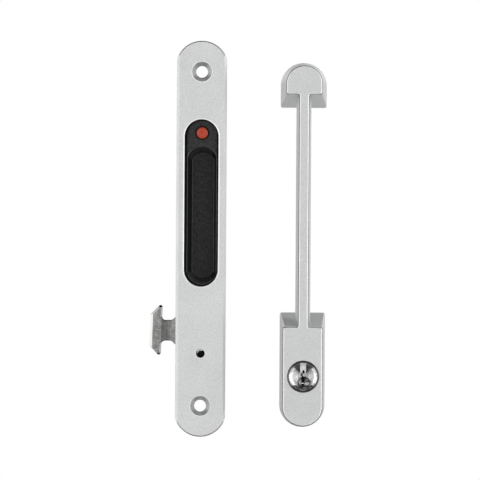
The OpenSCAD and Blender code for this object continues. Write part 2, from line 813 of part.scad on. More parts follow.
// The grip bar, wider at its back than at its front
module grip_bar() {
    edge_y = front_y + front_edge;
    edge_w = bar_front_w + (bar_back_w - bar_front_w) * front_edge / grip_bar_d;
    front_hw = bar_front_w / 2 - front_edge * edge_part;
    z0 = low_end_z + low_front_len - foot_wall;
    z1 = top_end_z - top_front_len + foot_wall;
    translate([0, 0, z0]) linear_extrude(z1 - z0)
        polygon([[-front_hw, front_y], [front_hw, front_y], [edge_w / 2, edge_y],
            [bar_back_w / 2, grip_back_y], [-bar_back_w / 2, grip_back_y], [-edge_w / 2, edge_y]]);
}

// The fillets between the grip bar and one foot
module grip_fillets(z, up) {
    half = bar_front_w / 2;
    slab(front_y + front_edge, front_y + grip_bar_d / 2) for (side = [-1, 1])
        translate([side * half, z]) mirror([side < 0 ? 1 : 0, 0]) mirror([0, up ? 0 : 1])
            corner_fill(grip_fillet);
}

// Where the two feet stand
module at_top_foot() {
    translate([0, 0, top_end_z]) children();
}

module at_low_foot() {
    translate([0, 0, low_end_z]) rotate([0, 180, 0]) children();
}

module handle_body() {
    core_top = cyl_z + hump_r + core_over;
    core_bottom = low_post_z + core_under;
    color("gainsboro") translate([handle_x, 0, 0]) difference() {
        union() {
            difference() {
                union() {
                    at_top_foot() foot_shell(top_base_r, top_front_r, top_base_len, top_front_len);
                    at_low_foot() foot_shell(low_base_r, low_front_r, low_base_len, low_front_len);
                    grip_bar();
                    grip_fillets(low_end_z + low_front_len, true);
                    grip_fillets(top_end_z - top_front_len, false);
                }
                at_top_foot() foot_hollow(top_base_r, top_front_r, top_base_len, top_front_len);
                difference() {
                    at_low_foot() foot_hollow(low_base_r, low_front_r, low_base_len, low_front_len);
                    block([-low_base_r, front_y, core_bottom], [low_base_r, core_back_y, core_top]);
                }
            }
            for (z = [top_post_z, low_post_z]) rod_y(0, z, front_y + foot_wall, 0, post_d / 2, post_d / 2);
        }
        for (z = [top_post_z, low_post_z])
            rod_y(0, z, -post_hole_d_len, 1, post_hole_d / 2, post_hole_d / 2);
        rod_y(0, cyl_z, front_y - 1, bezel_seat_y, bezel_d / 2 + cyl_gap, bezel_d / 2 + cyl_gap);
        rod_y(0, cyl_z, front_y, 1, cyl_r + cyl_gap, cyl_r + cyl_gap);
        block([-hump_hw - cyl_gap, first_pin_y - pin_margin - cyl_gap, cyl_z],
            [hump_hw + cyl_gap, 1, cyl_z + hump_r + cover_t + slide_gap]);
        for (z = retainer_screw_zs) rod_y(0, z, core_back_y - retainer_screw_len - 1, 1,
            retainer_screw_d / 2 + thread_gap, retainer_screw_d / 2 + thread_gap);
        slab(core_back_y, 1) translate([0, (retainer_screw_zs[0] + retainer_screw_zs[1]) / 2])
            retainer_outline(slide_gap);
    }
}

// The retainer plate's outline, grown on all sides for the recess that it lies in
module retainer_outline(grow) {
    span = retainer_screw_zs[0] - retainer_screw_zs[1];
    obround(2 * (cyl_r + grow), span + 2 * (retainer_end + grow));
}

// The depth of one pin stack
function pin_y(i) = first_pin_y + i * pin_pitch;

module cylinder_body() {
    color("goldenrod") translate([handle_x, 0, cyl_z]) difference() {
        union() {
            rod_y(0, 0, cyl_front_y, cyl_rear_y, cyl_r, cyl_r);
            block([-hump_hw, first_pin_y - pin_margin, 0], [hump_hw, cyl_rear_y, hump_r]);
        }
        rod_y(0, 0, cyl_front_y - 1, cyl_rear_y + 1, plug_r + turn_gap, plug_r + turn_gap);
        for (i = [0 : pin_count - 1]) translate([0, pin_y(i), 0])
            cylinder(h = hump_r + 1, r = pin_r + pin_gap);
    }
}

module cylinder_bezel() {
    color("white") translate([handle_x, 0, cyl_z]) difference() {
        union() {
            rod_y(0, 0, front_y, bezel_seat_y, bezel_d / 2, bezel_d / 2);
            rod_y(0, 0, bezel_front_y, front_y + eps, bezel_d / 2 - 0.4, bezel_d / 2);
        }
        rod_y(0, 0, bezel_front_y - 1, bezel_seat_y + 1, bezel_in_d / 2, bezel_in_d / 2);
    }
}

module driver_pins() {
    color("peru") translate([handle_x, 0, cyl_z]) for (i = [0 : pin_count - 1])
        translate([0, pin_y(i), driver_bottom]) cylinder(h = driver_len, r = pin_r);
}

module pin_springs() {
    spring_z = driver_bottom + driver_len;
    color("gray") translate([handle_x, 0, cyl_z]) for (i = [0 : pin_count - 1])
        translate([0, pin_y(i), spring_z]) difference() {
            cylinder(h = hump_r - spring_z, r = pin_r - 0.15);
            translate([0, 0, -1]) cylinder(h = hump_r, r = pin_r - 0.5);
        }
}

module pin_cover() {
    color("goldenrod") translate([handle_x, 0, cyl_z])
        block([-hump_hw, first_pin_y - pin_margin, hump_r], [hump_hw, cyl_rear_y, hump_r + cover_t]);
}

module cylinder_retainer() {
    mid = (retainer_screw_zs[0] + retainer_screw_zs[1]) / 2;
    color("silver") translate([handle_x, 0, 0]) difference() {
        slab(core_back_y, core_back_y + retainer_t) translate([0, mid]) retainer_outline(0);
        rod_y(0, cyl_z, core_back_y - 1, 0, plug_neck_r + retainer_neck_gap,
            plug_neck_r + retainer_neck_gap);
        for (z = retainer_screw_zs)
            rod_y(0, z, core_back_y - 1, 0, retainer_screw_d / 2 + thread_gap,
                retainer_screw_d / 2 + thread_gap);
    }
}

module retainer_screws() {
    head_y = core_back_y + retainer_t;
    color("dimgray") translate([handle_x, 0, 0]) for (z = retainer_screw_zs) {
        rod_y(0, z, core_back_y - retainer_screw_len, head_y + eps, retainer_screw_d / 2,
            retainer_screw_d / 2);
        difference() {
            rod_y(0, z, head_y, head_y + retainer_head_t, retainer_head_r, retainer_head_r - 0.5);
            cross_recess(z, head_y + retainer_head_t);
        }
    }
}

// The keyway from the front: a wide slot above a narrower offset one
module keyway_outline() {
    hw = keyway_w / 2;
    low_hw = keyway_low_w / 2;
    polygon([[-hw, keyway_top], [-hw, 0.6], [-low_hw - 0.4, 0.1], [-low_hw + 0.3, -0.7],
        [-low_hw, -1.4], [-low_hw, -keyway_bottom], [low_hw, -keyway_bottom], [low_hw, -1.2],
        [low_hw + 0.5, -0.4], [low_hw + 0.1, 0.4], [hw, 0.9], [hw, keyway_top]]);
}

module cylinder_plug() {
    head_r = bezel_in_d / 2 - plug_head_gap;
    face_y = front_y - plug_head_gap;
    color("whitesmoke") translate([handle_x, 0, cyl_z]) difference() {
        union() {
            rod_y(0, 0, face_y, cyl_front_y - turn_gap, head_r, head_r);
            rod_y(0, 0, face_y, cyl_rear_y + plug_tail_room, plug_r, plug_r);
            rod_y(0, 0, cyl_rear_y, plug_end_y, plug_neck_r, plug_neck_r);
        }
        rod_y(0, 0, face_y - eps, face_y + dish_depth, head_r - dish_rim, dish_floor_r);
        rod_y(0, recess_z, face_y - eps, face_y + recess_depth, recess_r, recess_floor_r);
        slab(face_y - 1, cyl_rear_y - 0.6) keyway_outline();
        for (i = [0 : pin_count - 1]) translate([0, pin_y(i), 1.2]) cylinder(h = plug_r, r = pin_r + pin_gap);
        slab(tail_front_y, plug_end_y + 1) square([tail_t + tail_play, tail_w + tail_play], center = true);
        rod_x(-plug_neck_r - 1, plug_neck_r + 1, tail_pin_y, 0, tail_pin_r);
        difference() {
            rod_y(0, 0, plug_clip_y, plug_clip_y + clip_t, plug_r + 1, plug_r + 1);
            rod_y(0, 0, plug_clip_y - 1, plug_clip_y + clip_t + 1, plug_r - plug_groove,
                plug_r - plug_groove);
        }
    }
}

module key_pins() {
    color("khaki") translate([handle_x, 0, cyl_z]) for (i = [0 : pin_count - 1])
        translate([0, pin_y(i), key_pin_top - pin_lens[i]]) {
            translate([0, 0, pin_tip]) cylinder(h = pin_lens[i] - pin_tip, r = pin_r);
            cylinder(h = pin_tip + eps, r1 = pin_tip_r, r2 = pin_r);
        }
}

module plug_clip() {
    color("dimgray") translate([handle_x, 0, cyl_z])
        slab(plug_clip_y + clip_play, plug_clip_y + clip_t - clip_play)
            clip_ring(plug_r + plug_clip_rim, plug_r - plug_groove);
}

module tailpiece() {
    color("silver") translate([handle_x, 0, cyl_z]) difference() {
        slab(tail_front_y, tail_reach) square([tail_t, tail_w], center = true);
        rod_x(-tail_w, tail_w, tail_pin_y, 0, tail_pin_r);
    }
}

module tailpiece_pin() {
    color("dimgray") translate([handle_x, 0, cyl_z])
        rod_x(-plug_neck_r + slide_gap, plug_neck_r - slide_gap, tail_pin_y, 0, tail_pin_r);
}

face_plate();
lock_case();
case_screws();
slide_pull();
indicator_dot();
drive_bar();
pull_screws();
hook_carrier();
bar_rivets();
double_hook();
clamp_screw();
detent_ball();
detent_spring();
drive_hub();
crank_pin();
hub_clip();
handle_body();
cylinder_body();
cylinder_bezel();
driver_pins();
pin_springs();
pin_cover();
cylinder_retainer();
retainer_screws();
cylinder_plug();
key_pins();
plug_clip();
tailpiece();
tailpiece_pin();
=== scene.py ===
"""Looks of a sliding latch lock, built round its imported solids.

Lengths in the classes are millimetres in the part's own frame. Z is up, the fronts face -Y,
and the origin is midway between the face plate's fixing holes on the plate's back.
"""

import logging
import math
from contextlib import contextmanager
from dataclasses import dataclass
from enum import Enum
from typing import Callable, Iterator, Optional, Sequence

import bmesh
import bpy
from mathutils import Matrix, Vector


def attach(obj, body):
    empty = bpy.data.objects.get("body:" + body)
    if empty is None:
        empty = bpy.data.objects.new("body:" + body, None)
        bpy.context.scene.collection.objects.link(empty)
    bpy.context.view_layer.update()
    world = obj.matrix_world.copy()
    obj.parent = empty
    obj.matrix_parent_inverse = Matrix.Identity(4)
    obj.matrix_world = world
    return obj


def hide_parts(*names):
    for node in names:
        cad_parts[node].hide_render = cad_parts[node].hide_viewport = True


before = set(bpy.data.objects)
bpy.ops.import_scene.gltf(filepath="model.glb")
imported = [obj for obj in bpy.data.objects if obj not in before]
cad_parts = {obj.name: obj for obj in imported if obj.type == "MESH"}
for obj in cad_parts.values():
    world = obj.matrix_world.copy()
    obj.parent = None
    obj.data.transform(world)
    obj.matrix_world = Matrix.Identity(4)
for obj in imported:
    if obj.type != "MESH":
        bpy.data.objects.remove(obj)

LOG = logging.getLogger("latch_lock")
MM = 0.001
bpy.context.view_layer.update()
Colour = tuple[float, float, float]
Point = tuple[float, float, float]
Pair = tuple[float, float]
Socket = bpy.types.NodeSocket
Face = bmesh.types.BMFace
Edge = bmesh.types.BMEdge
NOISE_RANGE: Pair = (0.3, 0.7)
DOT: Pair = (0.25, 50.75)
CLAMP_Z = -55.0
HANDLE_X = 48.8
CYLINDER_Z = -64.65
MERGE_MM = 0.002


class Body(Enum):
    """The bodies that the modelled pieces move with."""

    ROOT = "root"
    SLIDE = "slide"
    KEY_PLUG = "key_plug"


class Pick(Enum):
    """What is selected in edit mode."""

    VERT = "VERT"
    EDGE = "EDGE"
    FACE = "FACE"


# Finishes


class NodeBoard:
    """The nodes of one material, with short calls for what the finishes need."""

    def __init__(self, name: str) -> None:
        """Starts a material.

        Args:
            name: The material's name.
        """
        self.material = bpy.data.materials.new(name)
        self.material.use_nodes = True
        self.tree = self.material.node_tree
        self.shader = self.tree.nodes["Principled BSDF"]
        self.place = self.add("ShaderNodeTexCoord").outputs["Object"]

    def add(self, kind: str) -> bpy.types.Node:
        """Adds a node of the given kind."""
        return self.tree.nodes.new(kind)

    def link(self, source: Socket, target: Socket) -> None:
        """Links two sockets."""
        self.tree.links.new(source, target)

    def feed(self, name: str, source: Socket) -> None:
        """Links a value to one of the shader's inputs."""
        self.link(source, self.shader.inputs[name])

    def set(self, name: str, value: float) -> None:
        """Sets one of the shader's inputs to a number."""
        self.shader.inputs[name].default_value = value

    def noise(self, size_mm: float, detail: float = 2.0,
              stretch: Point = (1.0, 1.0, 1.0)) -> Socket:
        """Adds a noise pattern that is fixed to the object.

        Args:
            size_mm: The size of the pattern's features.
            detail: How many finer layers it has.
            stretch: How much longer the features are along each axis.

        Returns:
            The pattern's value, from 0 to 1.
        """
        mapping = self.add("ShaderNodeMapping")
        mapping.inputs["Scale"].default_value = [1.0 / part for part in stretch]
        self.link(self.place, mapping.inputs["Vector"])
        pattern = self.add("ShaderNodeTexNoise")
        pattern.inputs["Scale"].default_value = 1.0 / (size_mm * MM)
        pattern.inputs["Detail"].default_value = detail
        self.link(mapping.outputs["Vector"], pattern.inputs["Vector"])
        return pattern.outputs["Fac"]

    def spread(self, value: Socket, low: float, high: float,
               out_low: float = 0.0, out_high: float = 1.0) -> Socket:
        """Maps a value's range to another range.

        Args:
            value: The value.
            low: The value that gives out_low.
            high: The value that gives out_high.
            out_low: The result at the low end.
            out_high: The result at the high end.

        Returns:
            The mapped value.
        """
        node = self.add("ShaderNodeMapRange")
        for key, number in (("From Min", low), ("From Max", high), ("To Min", out_low),
                            ("To Max", out_high)):
            node.inputs[key].default_value = number
        self.link(value, node.inputs["Value"])
        return node.outputs["Result"]

    def even(self, pattern: Socket, out_low: float = 0.0, out_high: float = 1.0) -> Socket:
        """Spreads the usual range of a noise pattern over another range."""
        return self.spread(pattern, *NOISE_RANGE, out_low, out_high)

    def times(self, first: Socket, second: Socket) -> Socket:
        """Multiplies two values."""
        node = self.add("ShaderNodeMath")
        node.operation = "MULTIPLY"
        self.link(first, node.inputs[0])
        self.link(second, node.inputs[1])
        return node.outputs[0]

    def blend(self, factor: Socket, low: Colour, high: Colour) -> Socket:
        """Blends two colours.

        Args:
            factor: The share of the second colour.
            low: The first colour.
            high: The second colour.

        Returns:
            The blended colour.
        """
        node = self.add("ShaderNodeMix")
        node.data_type = "RGBA"
        node.inputs[6].default_value = (*low, 1.0)
        node.inputs[7].default_value = (*high, 1.0)
        self.link(factor, node.inputs[0])
        return node.outputs[2]

    def across(self) -> Socket:
        """Gives the place along the object's X axis."""
        parts = self.add("ShaderNodeSeparateXYZ")
        self.link(self.place, parts.inputs[0])
        return parts.outputs["X"]

    def facing(self) -> Socket:
        """Gives 1 on faces that lie square to the Y axis and 0 on walls."""
        geometry = self.add("ShaderNodeNewGeometry")
        parts = self.add("ShaderNodeSeparateXYZ")
        self.link(geometry.outputs["True Normal"], parts.inputs[0])
        size = self.add("ShaderNodeMath")
        size.operation = "ABSOLUTE"
        self.link(parts.outputs["Y"], size.inputs[0])
        return self.spread(size.outputs[0], 0.93, 0.985)

    def bump(self, height: Socket, depth_mm: float, strength: float = 1.0) -> None:
        """Raises the surface by a pattern.

        Args:
            height: The pattern.
            depth_mm: How deep it is.
            strength: How much of it shows.
        """
        node = self.add("ShaderNodeBump")
        node.inputs["Strength"].default_value = strength
        node.inputs["Distance"].default_value = depth_mm * MM
        self.link(height, node.inputs["Height"])
        self.feed("Normal", node.outputs["Normal"])


@dataclass(frozen=True)
class SatinMetal:
    """A satin metal face with a fine grain, such as anodised, lacquered or plated metal."""

    name: str
    colour: Colour
    metallic: float = 1.0
    roughness: float = 0.4
    grain_mm: float = 0.25
    grain_depth_mm: float = 0.004
    tint: float = 0.04
    stretch: Point = (1.0, 1.0, 1.0)
    cloud_mm: float = 14.0

    def material(self) -> bpy.types.Material:
        """Builds the material."""
        board = NodeBoard(self.name)
        board.set("Metallic", self.metallic)
        grain = board.noise(self.grain_mm, 3.0, self.stretch)
        cloud = board.noise(self.cloud_mm)
        low = tuple(part * (1.0 - self.tint) for part in self.colour)
        high = tuple(min(1.0, part * (1.0 + self.tint)) for part in self.colour)
        board.feed("Base Color", board.blend(board.even(grain), low, high))
        board.feed("Roughness", board.even(cloud, self.roughness - 0.03, self.roughness + 0.03))
        board.bump(grain, self.grain_depth_mm)
        return board.material


@dataclass(frozen=True)
class TumbledSteel:
    """Steel that was tumbled and plated, mottled with small dents."""

    name: str
    dark: Colour
    light: Colour
    roughness: float = 0.42
    metallic: float = 1.0
    # Painted shade: the start, the stop and the share of brightness at the start, for a darker ramp along
    # X.
    shade_ramp: tuple[float, float, float] = (0.0, 1.0, 1.0)
    speck_mm: float = 0.55
    patch_mm: float = 1.9

    def material(self) -> bpy.types.Material:
        """Builds the material, whose shade ramp along X is painted shade: darker by a share at one place,
        full brightness from another.
        """
        board = NodeBoard(self.name)
        board.set("Metallic", self.metallic)
        speck = board.noise(self.speck_mm, 4.0)
        patch = board.noise(self.patch_mm, 3.0)
        mottle = board.times(board.spread(speck, 0.27, 0.68, 0.18, 1.0),
                             board.spread(patch, 0.25, 0.7, 0.45, 1.0))
        start, stop, share = self.shade_ramp
        if share < 1.0:
            mottle = board.times(mottle, board.spread(board.across(), start * MM, stop * MM, share, 1.0))
        board.feed("Base Color", board.blend(mottle, self.dark, self.light))
        board.feed("Roughness", board.even(speck, self.roughness - 0.1, self.roughness + 0.12))
        board.bump(speck, 0.05, 0.6)
        return board.material


@dataclass(frozen=True)
class BlackMoulding:
    """Black plastic, textured on its flats and glossier on its walls, with painted shade that makes the
    walls darker than the flats.
    """

    name: str
    colour: Colour
    flat_colour: Colour
    specular: float = 0.4
    wall_roughness: float = 0.28
    flat_roughness: float = 0.55
    texture_mm: float = 0.9

    def material(self) -> bpy.types.Material:
        """Builds the material."""
        board = NodeBoard(self.name)
        flat = board.facing()
        texture = board.noise(self.texture_mm, 3.0)
        spot = board.spread(texture, 0.35, 0.65, 0.4, 1.6)
        board.set("Specular IOR Level", self.specular)
        shade = board.add("ShaderNodeVectorMath")
        shade.operation = "SCALE"
        # Faces square to Y take the lighter flat colour, walls the darker one: painted shade on the
        # walls.
        board.link(board.blend(flat, self.colour, self.flat_colour), shade.inputs[0])
        board.link(spot, shade.inputs["Scale"])
        board.feed("Base Color", shade.outputs[0])
        board.feed("Roughness", board.spread(flat, 0.0, 1.0, self.wall_roughness, self.flat_roughness))
        board.bump(board.times(texture, board.spread(flat, 0.0, 1.0, 0.15, 1.0)), 0.02, 0.6)
        return board.material


@dataclass(frozen=True)
class GlossPlastic:
    """Smooth moulded plastic with a slight unevenness."""

    name: str
    colour: Colour
    roughness: float = 0.25
    wave_mm: float = 0.9

    def material(self) -> bpy.types.Material:
        """Builds the material."""
        board = NodeBoard(self.name)
        wave = board.noise(self.wave_mm)
        low = tuple(part * 0.9 for part in self.colour)
        board.feed("Base Color", board.blend(board.even(wave), low, self.colour))
        board.feed("Roughness", board.even(wave, self.roughness - 0.05, self.roughness + 0.08))
        board.bump(wave, 0.01, 0.5)
        return board.material


@dataclass(frozen=True)
class BrightMetal:
    """Polished or turned metal, with fine lines from its finishing."""

    name: str
    colour: Colour
    roughness: float = 0.1
    line_mm: float = 0.3
    line_depth_mm: float = 0.002

    def material(self) -> bpy.types.Material:
        """Builds the material."""
        board = NodeBoard(self.name)
        board.set("Metallic", 1.0)
        line = board.noise(self.line_mm, stretch=(1.0, 6.0, 1.0))
        low = tuple(part * 0.92 for part in self.colour)
        board.feed("Base Color", board.blend(board.even(line), low, self.colour))
        board.feed("Roughness", board.even(line, self.roughness * 0.7, self.roughness * 1.4))
        board.bump(line, self.line_depth_mm)
        return board.material


class Finish(Enum):
    """Every finish on the part."""

    ANODISED = SatinMetal("anodised_face", (0.75, 0.755, 0.76), 0.85, 0.42, 0.6, 0.012, 0.11)
    # Painted shade: a darker copy of the anodised finish that tones down the side bevels.
    BEVEL = SatinMetal("anodised_bevel_painted_shade", (0.6, 0.605, 0.61), 0.9, 0.4, 0.75, 0.01, 0.06)
    # Painted shade: a darker copy of the anodised finish for the plate's rounded front edges.
    ARRIS = SatinMetal("anodised_arris_painted_shade", (0.36, 0.36, 0.365), 0.9, 0.4, 0.6, 0.005, 0.05)
    # Painted highlight: plain white paint on small edges, the countersinks' rims, the peep hole's wall
    # and the hook's chamfers and ear strips.
    BARE = SatinMetal("white_painted_highlight", (0.97, 0.97, 0.97), 0.0, 0.4, 0.5, 0.004, 0.02)
    BRIGHT = SatinMetal("bright_edge", (0.97, 0.97, 0.97), 1.0, 0.3, 0.5, 0.004, 0.02)
    # Painted shade: a darker copy of the anodised finish for the countersinks' cones.
    SINK = SatinMetal("anodised_sink_painted_shade", (0.6, 0.605, 0.61), 1.0, 0.36, 0.3, 0.004, 0.05)
    LACQUER = SatinMetal("satin_lacquer", (0.7, 0.705, 0.71), 0.55, 0.42, 0.55, 0.012, 0.09)
    # Painted highlight: a brighter copy of the lacquer for the inner part of the handle's rounded front
    # edge.
    LACQUER_RIM = SatinMetal("lacquer_painted_highlight", (0.97, 0.97, 0.97), 0.7, 0.42, 0.5, 0.004, 0.02)
    # Painted shade: a dark copy of the lacquer for a thin line along the outer part of the handle's
    # rounded front edge.
    LACQUER_LINE = SatinMetal("lacquer_painted_shade", (0.2, 0.2, 0.203), 0.6, 0.45, 0.5, 0.004, 0.05)
    CASE = SatinMetal("plated_case", (0.55, 0.56, 0.57), 1.0, 0.38, 0.5, 0.004, 0.08, (1.0, 1.0, 12.0))
    STRIP = SatinMetal("plated_strip", (0.5, 0.51, 0.53), 1.0, 0.32, 0.3, 0.003, 0.07, (1.0, 1.0, 16.0))
    CAST = SatinMetal("cast_zinc", (0.36, 0.37, 0.38), 0.9, 0.5, 0.6, 0.02, 0.1)
    TUMBLED = TumbledSteel("tumbled_head", (0.05, 0.05, 0.048), (0.62, 0.62, 0.61))
    # Painted shade: the neck's finish darkens towards the head along X and brightens towards the plate.
    TUMBLED_NECK = TumbledSteel("tumbled_neck_painted_shade", (0.03, 0.03, 0.029), (0.96, 0.96, 0.95),
                                shade_ramp=(-16.4, -12.2, 0.35))
    # Painted light: a lighter, non-metal copy of the tumbled finish for the slanted cheek beside the
    # neck.
    TUMBLED_CHEEK = TumbledSteel("tumbled_cheek_painted_light", (0.1, 0.1, 0.098), (0.85, 0.85, 0.84),
                                 metallic=0.0)
    # Painted highlight: a lighter copy of the tumbled finish for the nose's bevel.
    TUMBLED_EDGE = TumbledSteel("tumbled_painted_highlight", (0.8, 0.8, 0.79), (0.98, 0.98, 0.97), 0.4)
    # Painted shade: near black, for thin lines along the hook's chamfers, its ear tips and the ledge
    # round its neck.
    TUMBLED_TIP = TumbledSteel("tumbled_painted_shade_line", (0.02, 0.02, 0.02), (0.09, 0.09, 0.09))
    BLACK = BlackMoulding("moulded_black", (0.005, 0.005, 0.0055), (0.0245, 0.0248, 0.0252), 0.35)
    # Painted shade: a darker copy of the black moulding for the walls of the pocket, the groove and the
    # dot's well.
    BLACK_WALL = BlackMoulding("moulded_painted_shade", (0.008, 0.008, 0.0085), (0.01, 0.01, 0.0105), 0.2)
    # Painted highlight: a brighter, glossier copy of the black moulding for the rims and the floor's
    # fillet.
    BLACK_EDGE = BlackMoulding("moulded_painted_highlight", (0.036, 0.036, 0.037), (0.036, 0.036, 0.037), 0.95)
    RED = GlossPlastic("red_plastic", (0.54, 0.053, 0.016))
    # Painted shade: near black plastic that fills the keyway and the tailpiece's slot.
    OXIDE = GlossPlastic("keyway_shade", (0.012, 0.012, 0.013), 0.3)
    BLACKED = BrightMetal("blacked_steel", (0.006, 0.006, 0.007), 0.22)
    # Painted glint: bright steel for a sector of the clamp screw's black head.
    RUBBED = BrightMetal("steel_painted_glint", (0.6, 0.6, 0.6), 0.25)
    SCREW = BrightMetal("plated_screw", (0.5, 0.5, 0.5), 0.25)
    NICKEL = BrightMetal("nickelled_brass", (0.5, 0.48, 0.44), 0.24)
    CHROME = BrightMetal("polished_chrome", (0.8, 0.8, 0.81), 0.07)
    CHROME_DARK = BrightMetal("shaded_chrome", (0.1, 0.1, 0.103), 0.2)
    # Painted shade: a dark copy of the chrome for the dish's upper sectors and the bowl.
    CHROME_DULL = TumbledSteel("chrome_painted_shade", (0.02, 0.02, 0.02), (0.36, 0.36, 0.36), 0.3)
    CHROME_BAND = BrightMetal("milled_chrome", (0.86, 0.86, 0.86), 0.5, 0.35, 0.01)
    WORN = TumbledSteel("worn_chrome", (0.14, 0.14, 0.14), (0.62, 0.62, 0.62), 0.22)
    WIRE = BrightMetal("spring_wire", (0.42, 0.42, 0.44), 0.25)

    def material(self) -> bpy.types.Material:
        """Gives the finish's material, built once."""
        found = bpy.data.materials.get(self.value.name)
        return found or self.value.material()


SOLID_FINISHES: dict[str, Finish] = {
    "lock_case": Finish.CASE,
    "cylinder_retainer": Finish.CASE,
    "drive_bar": Finish.STRIP,
    "tailpiece": Finish.STRIP,
    "hook_carrier": Finish.CAST,
    "drive_hub": Finish.CAST,
    "detent_ball": Finish.CHROME,
    "detent_spring": Finish.WIRE,
    "hub_clip": Finish.WIRE,
    "pin_springs": Finish.WIRE,
    "plug_clip": Finish.WIRE,
    "cylinder_body": Finish.NICKEL,
    "driver_pins": Finish.NICKEL,
    "pin_cover": Finish.NICKEL,
    "key_pins": Finish.NICKEL,
}


# The bench


def deselect_all() -> None:
    """Leaves edit mode and deselects every object."""
    if bpy.context.mode != "OBJECT":
        bpy.ops.object.mode_set(mode="OBJECT")
    bpy.ops.object.select_all(action="DESELECT")


def metres(point: Point) -> Vector:
    """Turns a point in millimetres into metres."""
    return Vector(point) * MM


def extrude(step: Point) -> None:
    """Extrudes the selection by a step in millimetres, in edit mode."""
    bpy.ops.mesh.extrude_region_move(TRANSFORM_OT_translate={"value": [part * MM for part in step]})


